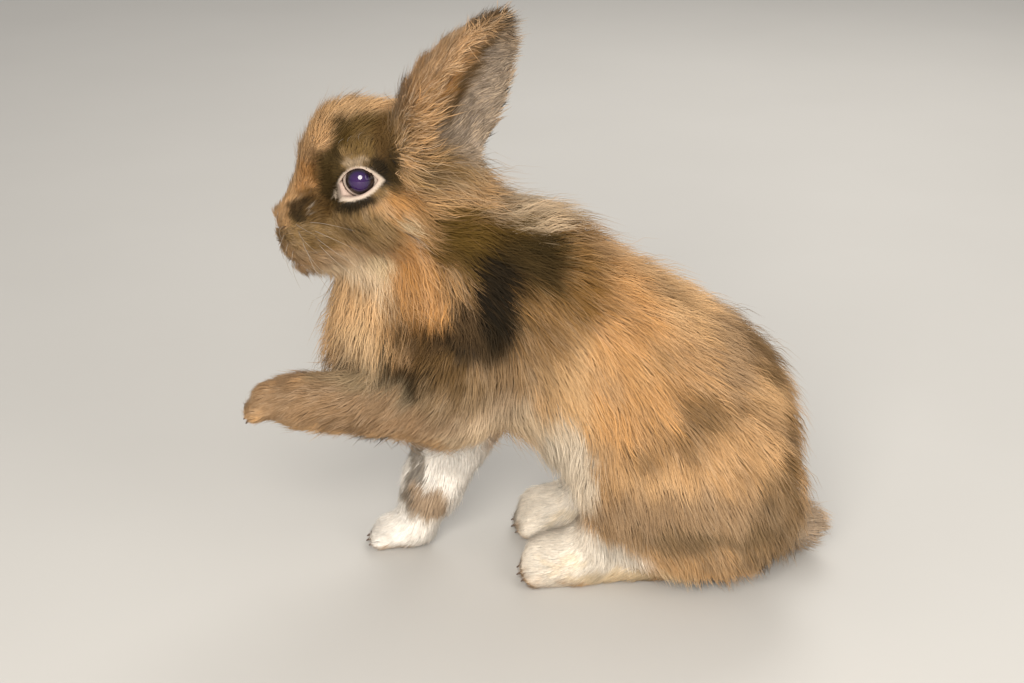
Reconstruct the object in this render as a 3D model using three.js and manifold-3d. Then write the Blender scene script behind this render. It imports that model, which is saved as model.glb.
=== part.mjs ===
// A life-size lionhead rabbit, crouched on its hind feet with one forepaw down and the other reaching out.
// Millimetres, +Z up, facing -X, its left side towards -Y. The solids reach out to the tips of the coat.
import * as THREE from 'three';
import { mergeVertices } from 'three/addons/utils/BufferGeometryUtils.js';
import Module from 'manifold-3d';

const wasm = await Module();
wasm.setup();

// Driving dimensions
const LEFT = -1;
const RIGHT = 1;
const GAP = 0.3; // kept between touching pieces
const HEAD_MIDDLE = [-60, 1.5, 173]; // between the two eyes
const HEAD_PITCH = 10; // degrees, nose down
const HEAD_ROLL = 10; // degrees, crown towards the right
const HEAD_YAW = 4; // degrees, nose towards the left
const EYE_RADIUS = 8.2;
const EYE_SIDE = 14.2; // from the middle of the head to the middle of an eye
const EYE_PIT = { radii: [8.8, 6, 7.8], side: 25.4 }; // bare rim around an eye
const EAR_WALL = 3.2; // half of an ear's thickness, hair and all
const EAR_ROOT = { [LEFT]: [-42, -9, 186], [RIGHT]: [-42, 15, 182] };
const EAR_TIP = { [LEFT]: [-9, -16, 243], [RIGHT]: [-12, 25, 229] };
const EAR_OPENING = { [LEFT]: [0.67, -0.74, 0], [RIGHT]: [0.67, 0.74, 0] };
const EAR_PROFILE = [
  // along the ear, radius of the cup, half of the arc in degrees
  [0.0, 14, 110],
  [0.18, 19, 97],
  [0.45, 21, 84],
  [0.7, 18.5, 76],
  [0.9, 12.5, 66],
  [1.0, 4.5, 56],
];
const EAR_SWEEP = 5; // the tip leans back this far
const EAR_BOW = 6; // the middle bows forward this far
const EAR_RINGS = 9;
const EAR_STEPS = 6;
const HIND_FOOT = { side: 22, heel: 64, toe: { [LEFT]: 3, [RIGHT]: 0.6 } };
const CLAW_RADIUS = 1.1;
const CLAW_LENGTH = 5.5;
const CLAW_BEND = 1.2;
const CLAW_START = 3.2; // a claw's root lies this far inside its toe's tip
const CLAW_SEGMENTS = 3;
const CLAW_SIDES = 5;
const CLAW_DIP = { hind_left: 6, hind_right: 6, front_right: 6, front_left: 30 }; // degrees
const COARSE = 14.6; // cell of the body's surface
const MIDDLING = 7.8; // cell of the head's surface
const FINE = 5.6; // cell of the feet's surface
const WELDS = [0.3, 0.22, 0.15, 0.1, 0.05, 0.01, 0.0001]; // vertices this close become one

// Boxes that the surface is worked out in: low corner, high corner
const BODY_BOX = [[-125, -70, -12], [145, 70, 215]];
const HEAD_BOX = [[-110, -50, 110], [10, 52, 215]];
const TAIL_BOX = [[94, -28, -12], [148, 28, 44]];
const RIGHT_LEG_BOX = [[-76, -16, -12], [12, 48, 66]];
const LEFT_LEG_BOX = [[-106, -62, 40], [16, 8, 126]];
const LEFT_PAW_BOX = [[-122, -46, 64], [-70, -6, 110]];
const footBox = (y) => [[-13, y - 25, -12], [96, y + 25, 46]];

const COLOURS = {
  coat: new THREE.Color(0.42, 0.29, 0.18),
  mane: new THREE.Color(0.34, 0.26, 0.19),
  ear: new THREE.Color(0.45, 0.33, 0.24),
  pale: new THREE.Color(0.72, 0.64, 0.54),
  eye: new THREE.Color(0.05, 0.03, 0.03),
  claw: new THREE.Color(0.2, 0.15, 0.12),
};

const radians = THREE.MathUtils.degToRad;
const vector = (p) => new THREE.Vector3(...p);

// Distance fields: each takes x, y, z and returns about the distance to a surface, negative inside

function ellipsoid({ at, radii, tilt = 0 }) {
  const c = Math.cos(radians(tilt));
  const s = Math.sin(radians(tilt));
  return (x, y, z) => {
    const dx = x - at[0];
    const dz = z - at[2];
    const u = (dx * c - dz * s) / radii[0];
    const v = (y - at[1]) / radii[1];
    const w = (dx * s + dz * c) / radii[2];
    const k = Math.hypot(u, v, w);
    const g = Math.hypot(u / radii[0], v / radii[1], w / radii[2]);
    return (k * (k - 1)) / Math.max(g, 1e-9);
  };
}

function taper({ from, to, radii }) {
  const way = [to[0] - from[0], to[1] - from[1], to[2] - from[2]];
  const square = way[0] ** 2 + way[1] ** 2 + way[2] ** 2;
  return (x, y, z) => {
    const p = [x - from[0], y - from[1], z - from[2]];
    const along = (p[0] * way[0] + p[1] * way[1] + p[2] * way[2]) / square;
    const h = THREE.MathUtils.clamp(along, 0, 1);
    const radius = radii[0] + (radii[1] - radii[0]) * h;
    return Math.hypot(p[0] - h * way[0], p[1] - h * way[1], p[2] - h * way[2]) - radius;
  };
}

function blend(a, b, softness) {
  const h = Math.max(softness - Math.abs(a - b), 0) / softness;
  return Math.min(a, b) - (h * h * softness) / 4;
}

// Lobes merge in order, each into those before it, over its own softness
function merged(lobes) {
  const fields = lobes.map((lobe) => (lobe.from ? taper(lobe) : ellipsoid(lobe)));
  return (x, y, z) => {
    let d = Infinity;
    fields.forEach((field, i) => {
      const next = field(x, y, z);
      d = i === 0 ? next : blend(d, next, lobes[i].soft);
    });
    return d;
  };
}

// The head's frame: forward, left, up
const headFrame = new THREE.Matrix4()
  .makeTranslation(...HEAD_MIDDLE)
  .multiply(new THREE.Matrix4().makeRotationZ(radians(HEAD_YAW)))
  .multiply(new THREE.Matrix4().makeRotationY(radians(-HEAD_PITCH)))
  .multiply(new THREE.Matrix4().makeRotationX(radians(-HEAD_ROLL)))
  .multiply(new THREE.Matrix4().makeRotationZ(Math.PI));
const intoHead = headFrame.clone().invert();

const HEAD_MIDLINE = [
  { at: [-5, 0, 3], radii: [30, 24, 26] }, // skull
  { at: [5, 0, 15], radii: [13, 14, 14], soft: 10 }, // forehead tuft
  { from: [8, 0, 6], to: [27, 0, -12], radii: [15, 11], soft: 8 }, // bridge of the nose
  { at: [24, 0, -19], radii: [14.5, 13, 14], soft: 8 }, // muzzle
  { at: [25, 0, -26], radii: [9, 8, 7], soft: 6 }, // chin
  { from: [20, 0, -24], to: [-10, 0, -20], radii: [8, 14], soft: 8 }, // jaw
];
const HEAD_PAIRED = [
  { at: [25, 7, -19], radii: [12, 9, 10.5] }, // whisker pad
  { at: [-4, 14, -12], radii: [20, 13, 17], soft: 10 }, // cheek
];

function headField() {
  const midline = merged(HEAD_MIDLINE);
  const paired = merged(HEAD_PAIRED);
  const p = new THREE.Vector3();
  return (x, y, z) => {
    p.set(x, y, z).applyMatrix4(intoHead);
    return blend(midline(p.x, p.y, p.z), paired(p.x, Math.abs(p.y), p.z), 8);
  };
}

const NECK = [
  { from: [-40, 1, 162], to: [-14, 0, 120], radii: [28, 38] },
  { from: [-62, 1, 143], to: [-50, 0, 108], radii: [16, 26], soft: 14 }, // throat
  { at: [-31, 1, 166], radii: [20, 34, 25], soft: 10 }, // mane behind the ears
];
const TRUNK = [
  { at: [-28, 0, 100], radii: [48, 38, 42], tilt: -25 }, // chest
  { at: [21, 0, 103.5], radii: [54, 42, 45], tilt: 25, soft: 20 }, // ribs
  { at: [0, 0, 136], radii: [28, 26, 20], soft: 20 }, // mane over the shoulders
  { at: [66, 0, 72], radii: [60.5, 46, 48], tilt: 36, soft: 22 }, // loin and rump
  { at: [52, 0, 64], radii: [38, 36, 26], soft: 16 }, // belly
  { at: [88, 0, 37], radii: [30, 36, 31], soft: 12 }, // seat
];
const TAIL = [{ from: [114, 0, 17], to: [126, 0, 13.5], radii: [14, 12] }];

const thigh = (side) => [{ at: [74, side * 31, 48], radii: [51, 23, 43], tilt: 18 }];

function hindFoot(side) {
  const toe = HIND_FOOT.toe[side];
  const y = side * HIND_FOOT.side;
  const toes = [-9, -3.2, 3.2, 9].map((spread) => ({
    from: [toe + 16, y + spread * 0.8, 8],
    to: [toe + 4.8 + Math.abs(spread) * 0.3, y + spread, 4.6],
    radii: [5.5, 4.8],
    soft: 3,
  }));
  return [
    { from: [toe + 15, y, 8.5], to: [toe + HIND_FOOT.heel, y + side, 9], radii: [10, 9] }, // sole
    { at: [toe + 16, y, 9], radii: [13, 12, 10.5], soft: 8 },
    ...toes,
    { from: [toe + 26, y, 10], to: [toe + 46, y + side * 4, 34], radii: [10, 18], soft: 10 }, // hock
  ];
}

const RIGHT_WRIST = [-41.5, 9, 12];
const LEFT_WRIST = [-84, -25, 84];
const pawToes = (x, y, z, drop) => [-6.4, -2.2, 2.2, 6.4].map((spread) => ({
  from: [x, y + spread * 0.8, z],
  to: [x - 8.5 + Math.abs(spread) * 0.35, y + spread, z - drop],
  radii: [4.6, 3.9],
  soft: 2.5,
}));
const RIGHT_FORELEG = [
  { from: [-17, 14, 72], to: [-34.5, 9, 30], radii: [22, 12.5] },
  { from: [-34.5, 9, 30], to: RIGHT_WRIST, radii: [12.5, 10], soft: 8 },
  { at: [-48, 9, 7.2], radii: [12, 9.5, 8], soft: 6 }, // paw
  ...pawToes(-51, 9, 6, 2.2),
];
const LEFT_FORELEG = [
  { from: [-20, -26, 104], to: [-24, -28, 89], radii: [26, 19] }, // upper arm
  { from: [-25, -28, 86], to: LEFT_WRIST, radii: [18.5, 12.5], soft: 14 },
  { at: [-95, -24.5, 84], radii: [12, 9.5, 8.5], soft: 6, tilt: 8 }, // paw
  ...pawToes(-98, -24.5, 83, 3),
];

const head = headField();
const bodyLobes = [
  [merged(NECK), 14],
  [merged(TRUNK), 18],
  [merged(TAIL), 10],
  [merged(thigh(LEFT)), 12],
  [merged(thigh(RIGHT)), 12],
  [merged(hindFoot(LEFT)), 6],
  [merged(hindFoot(RIGHT)), 6],
  [merged(RIGHT_FORELEG), 8],
  [merged(LEFT_FORELEG), 10],
];

function body(x, y, z) {
  const join = (d, [field, softness]) => blend(d, field(x, y, z), softness);
  return bodyLobes.reduce(join, head(x, y, z));
}

// Surfaces: one vertex in each cell that the surface crosses, then moved onto the surface itself

const CELL_CORNERS = [0, 1, 2, 3, 4, 5, 6, 7].map((i) => [i & 1, (i >> 1) & 1, (i >> 2) & 1]);
const CELL_EDGES = [];
for (let i = 0; i < 8; i += 1) {
  for (const bit of [1, 2, 4]) {
    if (!(i & bit)) CELL_EDGES.push([i, i | bit]);
  }
}

function insideBox(low, high) {
  return (x, y, z) => Math.max(
    low[0] - x,
    x - high[0],
    low[1] - y,
    y - high[1],
    low[2] - z,
    z - high[2],
  );
}

function settle(field, p, reach) {
  const e = 0.05;
  for (let pass = 0; pass < 3; pass += 1) {
    const d = field(p.x, p.y, p.z);
    const slope = new THREE.Vector3(
      field(p.x + e, p.y, p.z) - field(p.x - e, p.y, p.z),
      field(p.x, p.y + e, p.z) - field(p.x, p.y - e, p.z),
      field(p.x, p.y, p.z + e) - field(p.x, p.y, p.z - e),
    ).divideScalar(2 * e);
    const step = THREE.MathUtils.clamp(d / Math.max(slope.lengthSq(), 0.3), -reach, reach);
    p.addScaledVector(slope, -step);
  }
}

function surface(field, [low, high], cell) {
  const wall = insideBox(low, high);
  const closed = (x, y, z) => Math.max(field(x, y, z), wall(x, y, z));
  const start = low.map((v) => v - 1.37 * cell);
  const count = low.map((v, i) => Math.ceil((high[i] - v) / cell) + 4);
  const place = (i, j, k) => [start[0] + i * cell, start[1] + j * cell, start[2] + k * cell];
  const index = (i, j, k) => i + count[0] * (j + count[1] * k);
  const values = new Float64Array(count[0] * count[1] * count[2]);
  for (let k = 0; k < count[2]; k += 1) {
    for (let j = 0; j < count[1]; j += 1) {
      for (let i = 0; i < count[0]; i += 1) {
        values[index(i, j, k)] = closed(...place(i, j, k));
      }
    }
  }
  const vertices = [];
  const vertexOf = new Map();
  for (let k = 0; k < count[2] - 1; k += 1) {
    for (let j = 0; j < count[1] - 1; j += 1) {
      for (let i = 0; i < count[0] - 1; i += 1) {
        const sum = new THREE.Vector3();
        let crossings = 0;
        for (const [a, b] of CELL_EDGES) {
          const [ca, cb] = [CELL_CORNERS[a], CELL_CORNERS[b]];
          const va = values[index(i + ca[0], j + ca[1], k + ca[2])];
          const vb = values[index(i + cb[0], j + cb[1], k + cb[2])];
          if (va < 0 !== vb < 0) {
            const t = va / (va - vb);
            const pa = vector(place(i + ca[0], j + ca[1], k + ca[2]));
            sum.add(pa.lerp(vector(place(i + cb[0], j + cb[1], k + cb[2])), t));
            crossings += 1;
          }
        }
        if (crossings > 0) {
          sum.divideScalar(crossings);
          settle(closed, sum, cell / 5);
          vertexOf.set(index(i, j, k), vertices.length / 3);
          vertices.push(sum.x, sum.y, sum.z);
        }
      }
    }
  }
  const vertexAt = (n) => new THREE.Vector3().fromArray(vertices, 3 * n);
  const faces = [];
  const axes = [[1, 0, 0], [0, 1, 0], [0, 0, 1]];
  for (let k = 1; k < count[2] - 1; k += 1) {
    for (let j = 1; j < count[1] - 1; j += 1) {
      for (let i = 1; i < count[0] - 1; i += 1) {
        axes.forEach((axis, n) => {
          const here = values[index(i, j, k)] < 0;
          const there = values[index(i + axis[0], j + axis[1], k + axis[2])] < 0;
          if (here === there) return;
          const u = axes[(n + 1) % 3];
          const v = axes[(n + 2) % 3];
          const at = (a, b) => vertexOf.get(index(
            i - a * u[0] - b * v[0],
            j - a * u[1] - b * v[1],
            k - a * u[2] - b * v[2],
          ));
          const ring = [at(0, 0), at(1, 0), at(1, 1), at(0, 1)];
          if (!here) ring.reverse();
          const reach2 = (a, b) => vertexAt(ring[a]).distanceToSquared(vertexAt(ring[b]));
          if (reach2(1, 3) < reach2(0, 2)) ring.push(ring.shift());
          faces.push(ring[0], ring[1], ring[2], ring[0], ring[2], ring[3]);
        });
      }
    }
  }
  const geometry = new THREE.BufferGeometry();
  geometry.setAttribute('position', new THREE.Float32BufferAttribute(vertices, 3));
  geometry.setIndex(faces);
  return geometry;
}

// Solids to join and cut

function solid(geometry, matrix = new THREE.Matrix4()) {
  const bare = geometry.clone().applyMatrix4(matrix);
  bare.deleteAttribute('normal');
  bare.deleteAttribute('uv');
  const whole = mergeVertices(bare, 1e-4);
  return new wasm.Manifold(new wasm.Mesh({
    numProp: 3,
    vertProperties: new Float32Array(whole.attributes.position.array),
    triVerts: new Uint32Array(whole.index.array),
  }));
}

// The largest piece of a solid: a cut can leave loose chips beside it
function largest(cut) {
  const pieces = cut.decompose();
  return pieces.reduce((best, piece) => (piece.volume() > best.volume() ? piece : best));
}

// Whether each edge of an indexed geometry joins exactly two faces
function closed(faces) {
  const uses = new Map();
  for (let i = 0; i < faces.length; i += 3) {
    for (let j = 0; j < 3; j += 1) {
      const [a, b] = [faces[i + j], faces[i + ((j + 1) % 3)]];
      const key = `${Math.min(a, b)} ${Math.max(a, b)}`;
      uses.set(key, (uses.get(key) ?? 0) + 1);
    }
  }
  return [...uses.values()].every((n) => n === 2);
}

// A cut leaves edges far finer than a cell. They are welded, coarsely if the surface stays closed
function geometryOf(shape) {
  const mesh = largest(shape).getMesh();
  const raw = new THREE.BufferGeometry();
  raw.setAttribute('position', new THREE.BufferAttribute(mesh.vertProperties, 3));
  raw.setIndex(new THREE.BufferAttribute(mesh.triVerts, 1));
  for (const weld of WELDS) {
    const geometry = mergeVertices(raw.clone(), weld);
    const corners = geometry.index.array;
    const faces = [];
    for (let i = 0; i < corners.length; i += 3) {
      const [a, b, c] = corners.slice(i, i + 3);
      if (a !== b && b !== c && a !== c) faces.push(a, b, c);
    }
    if (closed(faces)) {
      geometry.setIndex(faces);
      geometry.computeVertexNormals();
      return geometry;
    }
  }
  throw new Error('a cut left a surface that no weld closes');
}

// Regions that the body is parted by. Each grows by a gap where it is cut out of its neighbours

function beyond(point, direction, gap = 0) {
  const reach = 400;
  const turn = new THREE.Quaternion().setFromUnitVectors(new THREE.Vector3(0, 0, 1), direction);
  const middle = direction.clone().multiplyScalar(reach / 2 - gap).add(vector(point));
  const matrix = new THREE.Matrix4().compose(middle, turn, new THREE.Vector3(1, 1, 1));
  return solid(new THREE.BoxGeometry(reach, reach, reach), matrix);
}

function ball(at, radii, gap = 0) {
  const size = vector(radii).addScalar(gap);
  const matrix = new THREE.Matrix4().compose(vector(at), new THREE.Quaternion(), size);
  return solid(new THREE.SphereGeometry(1, 16, 10), matrix);
}

function block(low, high, gap = 0) {
  const size = vector(high).sub(vector(low)).addScalar(2 * gap);
  const middle = vector(low).add(vector(high)).divideScalar(2);
  const matrix = new THREE.Matrix4().setPosition(middle);
  return solid(new THREE.BoxGeometry(size.x, size.y, size.z), matrix);
}

function rod(from, to, radii, gap = 0) {
  const way = vector(to).sub(vector(from));
  const along = way.clone().normalize();
  const turn = new THREE.Quaternion().setFromUnitVectors(new THREE.Vector3(0, 1, 0), along);
  const middle = vector(from).add(vector(to)).divideScalar(2);
  const matrix = new THREE.Matrix4().compose(middle, turn, new THREE.Vector3(1, 1, 1));
  const length = way.length() + 2 * gap;
  const round = new THREE.CylinderGeometry(radii[1] + gap, radii[0] + gap, length, 16);
  return solid(round, matrix);
}

// A prism along Y over an outline in X and Z
function prism(outline, middle, width, gap = 0) {
  const mean = (n) => outline.reduce((sum, p) => sum + p[n], 0) / outline.length;
  const centre = [mean(0), mean(1)];
  const reach = Math.max(...outline.map((p) => Math.hypot(p[0] - centre[0], p[1] - centre[1])));
  const grow = 1 + (2 * gap) / reach;
  const shape = new THREE.Shape(outline.map((p) => new THREE.Vector2(
    centre[0] + (p[0] - centre[0]) * grow,
    centre[1] + (p[1] - centre[1]) * grow,
  )));
  const length = width + 2 * gap;
  const geometry = new THREE.ExtrudeGeometry(shape, { depth: length, bevelEnabled: false });
  const matrix = new THREE.Matrix4().makeRotationX(Math.PI / 2).setPosition(0, middle + length / 2, 0);
  return solid(geometry, matrix);
}

const slope = (x, z) => new THREE.Vector3(x, 0, z).normalize();
const HEAD_CUT = { through: [-44, 0, 158], towards: slope(-0.74, 0.67) };
const NECK_CUT = { through: [-38, 0, 130], towards: slope(-0.63, 0.776) };
const RIGHT_PAW_CUT = { through: [-40, 0, 15], towards: slope(-0.42, -0.9) };
const LEFT_PAW_CUT = { through: [-85, 0, 86], towards: slope(-1, 0) };
const TAIL_BALL = { at: [129, 0, 11], radii: [19, 17, 18] };
const THIGH_BALL = { x: 76, side: 48, z: 46, radii: [62, 37, 56] };
const SHOULDER_BALL = { at: [-24, -36, 86], radii: [33, 24, 33] };
const FOREARM_ROD = { from: [-26, -29, 84], to: [-140, -24, 85], radii: [23, 19] };
const RIGHT_LEG_BLOCK = [[-80, -8, -5], [14, 42, 55]];
const HIND_FOOT_OUTLINE = [[-20, -5], [82, -5], [82, 13], [52, 15], [34, 22], [24, 34], [-20, 34]];
const HIND_FOOT_WIDTH = 30;
const FLOOR_BLOCK = [[-300, -300, -100], [300, 300, 0]];
const past = (cut, gap) => beyond(cut.through, cut.towards, gap);
const regions = {
  floor: () => block(...FLOOR_BLOCK),
  head: (gap) => past(HEAD_CUT, gap),
  neck: (gap) => past(NECK_CUT, gap),
  tail: (gap) => ball(TAIL_BALL.at, TAIL_BALL.radii, gap),
  thigh: (side, gap) => ball([THIGH_BALL.x, side * THIGH_BALL.side, THIGH_BALL.z], THIGH_BALL.radii, gap),
  hindFoot: (side, gap) => prism(HIND_FOOT_OUTLINE, side * HIND_FOOT.side, HIND_FOOT_WIDTH, gap),
  rightForeleg: (gap) => block(...RIGHT_LEG_BLOCK, gap),
  rightPaw: (gap) => past(RIGHT_PAW_CUT, gap),
  leftForeleg: (gap) => ball(SHOULDER_BALL.at, SHOULDER_BALL.radii, gap)
    .add(rod(FOREARM_ROD.from, FOREARM_ROD.to, FOREARM_ROD.radii, gap)),
  leftPaw: (gap) => past(LEFT_PAW_CUT, gap),
};

// Ears: a cupped leaf along its axis, in a frame with the axis along +Z and the opening towards +X

function earRing(share, gap) {
  const profile = (column) => {
    const i = Math.max(1, EAR_PROFILE.findIndex((row) => row[0] >= share));
    const [a, b] = [EAR_PROFILE[i - 1], EAR_PROFILE[i]];
    const t = (share - a[0]) / (b[0] - a[0]);
    return a[column] + (b[column] - a[column]) * THREE.MathUtils.smoothstep(t, -0.5, 1.5);
  };
  const radius = profile(1);
  const half = radians(profile(2)) + gap / radius;
  const thickness = Math.min(EAR_WALL, radius * 0.45) + gap;
  const ring = [];
  for (const [offset, way] of [[thickness, 1], [-thickness, -1]]) {
    for (let i = 0; i <= EAR_STEPS; i += 1) {
      const angle = way * half * ((2 * i) / EAR_STEPS - 1);
      const r = radius + offset;
      ring.push([radius - r * Math.cos(angle), r * Math.sin(angle)]);
    }
  }
  return ring;
}

function earGeometry(side, gap = 0) {
  const length = vector(EAR_TIP[side]).distanceTo(vector(EAR_ROOT[side]));
  const positions = [];
  const faces = [];
  let size = 0;
  for (let i = 0; i <= EAR_RINGS; i += 1) {
    const share = i / EAR_RINGS;
    const lean = EAR_SWEEP * share * share - EAR_BOW * 4 * share * (1 - share);
    const ring = earRing(share, gap);
    size = ring.length;
    const height = share * (length + gap) - (i === 0 ? gap : 0);
    ring.forEach(([x, y]) => positions.push(x + lean, y, height));
  }
  for (let i = 0; i < EAR_RINGS; i += 1) {
    for (let j = 0; j < size; j += 1) {
      const a = i * size + j;
      const b = i * size + ((j + 1) % size);
      faces.push(a, b + size, b, a, a + size, b + size);
    }
  }
  const half = size / 2;
  for (const [base, flip] of [[0, false], [EAR_RINGS * size, true]]) {
    for (let j = 0; j < half - 1; j += 1) {
      const quad = [base + j, base + j + 1, base + size - 2 - j, base + size - 1 - j];
      if (flip) quad.reverse();
      faces.push(quad[0], quad[1], quad[2], quad[0], quad[2], quad[3]);
    }
  }
  const geometry = new THREE.BufferGeometry();
  geometry.setAttribute('position', new THREE.Float32BufferAttribute(positions, 3));
  geometry.setIndex(faces);
  geometry.computeVertexNormals();
  return geometry;
}

function earFrame(side) {
  const root = vector(EAR_ROOT[side]);
  const axis = vector(EAR_TIP[side]).sub(root).normalize();
  const opening = vector(EAR_OPENING[side]);
  opening.addScaledVector(axis, -opening.dot(axis)).normalize();
  const across = axis.clone().cross(opening);
  return new THREE.Matrix4().makeBasis(opening, across, axis).setPosition(root);
}

// Eyes: a globe in the head's frame

const eyePlace = (side) => new THREE.Vector3(0, -side * EYE_SIDE, 0);
const eyeGeometry = (gap = 0) => new THREE.SphereGeometry(EYE_RADIUS + gap, 12, 8);

function eyeSocket(side) {
  const pitPlace = new THREE.Vector3(0, -side * EYE_PIT.side, 0);
  const pit = new THREE.Matrix4().compose(pitPlace, new THREE.Quaternion(), vector(EYE_PIT.radii));
  const globe = new THREE.Matrix4().setPosition(eyePlace(side));
  return solid(eyeGeometry(GAP), headFrame.clone().multiply(globe))
    .add(solid(new THREE.SphereGeometry(1, 12, 8), headFrame.clone().multiply(pit)));
}

// Claws: a bent, blunt cone along -X

function clawGeometry(gap = 0) {
  const segments = CLAW_SEGMENTS;
  const sides = CLAW_SIDES;
  const positions = [];
  const faces = [];
  for (let i = 0; i <= segments; i += 1) {
    const share = i / segments;
    const radius = CLAW_RADIUS * (1 - 0.68 * share * share) + gap;
    const end = i === 0 ? gap : i === segments ? -gap : 0;
    for (let j = 0; j < sides; j += 1) {
      const turn = (2 * Math.PI * j) / sides;
      positions.push(
        -share * CLAW_LENGTH + end,
        radius * 0.8 * Math.cos(turn),
        radius * Math.sin(turn) - CLAW_BEND * share * share,
      );
    }
  }
  for (let i = 0; i < segments; i += 1) {
    for (let j = 0; j < sides; j += 1) {
      const a = i * sides + j;
      const b = i * sides + ((j + 1) % sides);
      faces.push(a, b + sides, b, a, a + sides, b + sides);
    }
  }
  for (let j = 1; j < sides - 1; j += 1) {
    faces.push(0, j, j + 1);
    const tip = segments * sides;
    faces.push(tip, tip + j + 1, tip + j);
  }
  const geometry = new THREE.BufferGeometry();
  geometry.setAttribute('position', new THREE.Float32BufferAttribute(positions, 3));
  geometry.setIndex(faces);
  geometry.computeVertexNormals();
  return geometry;
}

const clawPlaces = {};
const TOE_SOFTNESS = 3; // toes are the only lobes that merge as sharply as this
for (const [name, lobes] of [
  ['hind_left', hindFoot(LEFT)],
  ['hind_right', hindFoot(RIGHT)],
  ['front_right', RIGHT_FORELEG],
  ['front_left', LEFT_FORELEG],
]) {
  lobes.filter((lobe) => lobe.soft <= TOE_SOFTNESS).forEach((toe, i) => {
    const tip = vector(toe.to);
    const dip = radians(-CLAW_DIP[name]);
    const fan = new THREE.Quaternion().setFromEuler(new THREE.Euler(0, dip, 0));
    const start = new THREE.Vector3(-(toe.radii[1] - CLAW_START), 0, 0).applyQuaternion(fan);
    clawPlaces[`claw_${name}_${i + 1}`] = { position: tip.add(start), quaternion: fan, foot: name };
  });
}

const clawHoles = (foot) => Object.values(clawPlaces)
  .filter((claw) => claw.foot === foot)
  .map((claw) => solid(clawGeometry(GAP), new THREE.Matrix4().compose(
    claw.position, claw.quaternion, new THREE.Vector3(1, 1, 1))));

// Parting

const cutAll = (shape, cutters) => cutters.reduce((rest, cutter) => rest.subtract(cutter), shape);
const floor = regions.floor();
const detail = (box, cell) => solid(surface(body, box, cell)).subtract(floor);
const whole = detail(BODY_BOX, COARSE);

const flesh = {};
for (const [side, name] of [[LEFT, 'left'], [RIGHT, 'right']]) {
  const foot = detail(footBox(side * HIND_FOOT.side), FINE).intersect(regions.hindFoot(side, 0));
  flesh[`hind_foot_${name}`] = cutAll(foot, clawHoles(`hind_${name}`));
  flesh[`thigh_${name}`] = whole.intersect(regions.thigh(side, 0))
    .subtract(regions.hindFoot(side, GAP));
}
const rightLeg = detail(RIGHT_LEG_BOX, FINE).intersect(regions.rightForeleg(0));
flesh.forepaw_right = cutAll(rightLeg.intersect(regions.rightPaw(0)), clawHoles('front_right'));
flesh.foreleg_right = rightLeg.subtract(regions.rightPaw(GAP));
const leftPaw = detail(LEFT_PAW_BOX, FINE).intersect(regions.leftForeleg(0));
flesh.forepaw_left = cutAll(leftPaw.intersect(regions.leftPaw(0)), clawHoles('front_left'));
const leftLeg = detail(LEFT_LEG_BOX, MIDDLING).intersect(regions.leftForeleg(0));
flesh.foreleg_left = leftLeg.subtract(regions.leftPaw(GAP));
flesh.tail = detail(TAIL_BOX, MIDDLING).intersect(regions.tail(0));

const ears = {};
for (const side of [LEFT, RIGHT]) ears[side] = solid(earGeometry(side, GAP), earFrame(side));
flesh.head = cutAll(detail(HEAD_BOX, MIDDLING).intersect(regions.head(0)), [
  eyeSocket(LEFT),
  eyeSocket(RIGHT),
  ears[LEFT],
  ears[RIGHT],
]);
const limbs = [
  regions.leftForeleg(GAP),
  regions.rightForeleg(GAP),
  regions.tail(GAP),
  regions.thigh(LEFT, GAP),
  regions.thigh(RIGHT, GAP),
  regions.hindFoot(LEFT, GAP),
  regions.hindFoot(RIGHT, GAP),
];
const core = cutAll(whole, limbs);
flesh.neck = cutAll(core.intersect(regions.neck(0)), [regions.head(GAP), ears[LEFT], ears[RIGHT]]);
flesh.trunk = core.subtract(regions.neck(GAP));

// The rabbit, with its origin on the floor below the middle of its box

const rabbit = new THREE.Group();

function add(name, geometry, colour, roughness, parent = rabbit) {
  const finish = new THREE.MeshStandardMaterial({ color: colour, roughness, metalness: 0 });
  const mesh = new THREE.Mesh(geometry, finish);
  mesh.name = name;
  parent.add(mesh);
  return mesh;
}

const PALE = ['hind_foot_left', 'hind_foot_right', 'forepaw_right', 'foreleg_right'];
for (const [name, shape] of Object.entries(flesh)) {
  const colour = PALE.includes(name) ? COLOURS.pale : name === 'neck' ? COLOURS.mane : COLOURS.coat;
  add(name, geometryOf(shape), colour, 0.9);
}

const headGroup = new THREE.Group();
headFrame.decompose(headGroup.position, headGroup.quaternion, headGroup.scale);
rabbit.add(headGroup);
for (const [side, name] of [[LEFT, 'left'], [RIGHT, 'right']]) {
  const eye = add(`eye_${name}`, eyeGeometry(), COLOURS.eye, 0.1, headGroup);
  eye.position.copy(eyePlace(side));
  const ear = add(`ear_${name}`, earGeometry(side), COLOURS.ear, 0.9);
  earFrame(side).decompose(ear.position, ear.quaternion, ear.scale);
}

for (const [name, place] of Object.entries(clawPlaces)) {
  const claw = add(name, clawGeometry(), COLOURS.claw, 0.4);
  claw.position.copy(place.position);
  claw.quaternion.copy(place.quaternion);
}

rabbit.updateMatrixWorld(true);
const box = new THREE.Box3().setFromObject(rabbit, true);
rabbit.position.set(-(box.min.x + box.max.x) / 2, -(box.min.y + box.max.y) / 2, 0);
rabbit.updateMatrixWorld(true);

export default rabbit;
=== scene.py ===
import math

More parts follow.
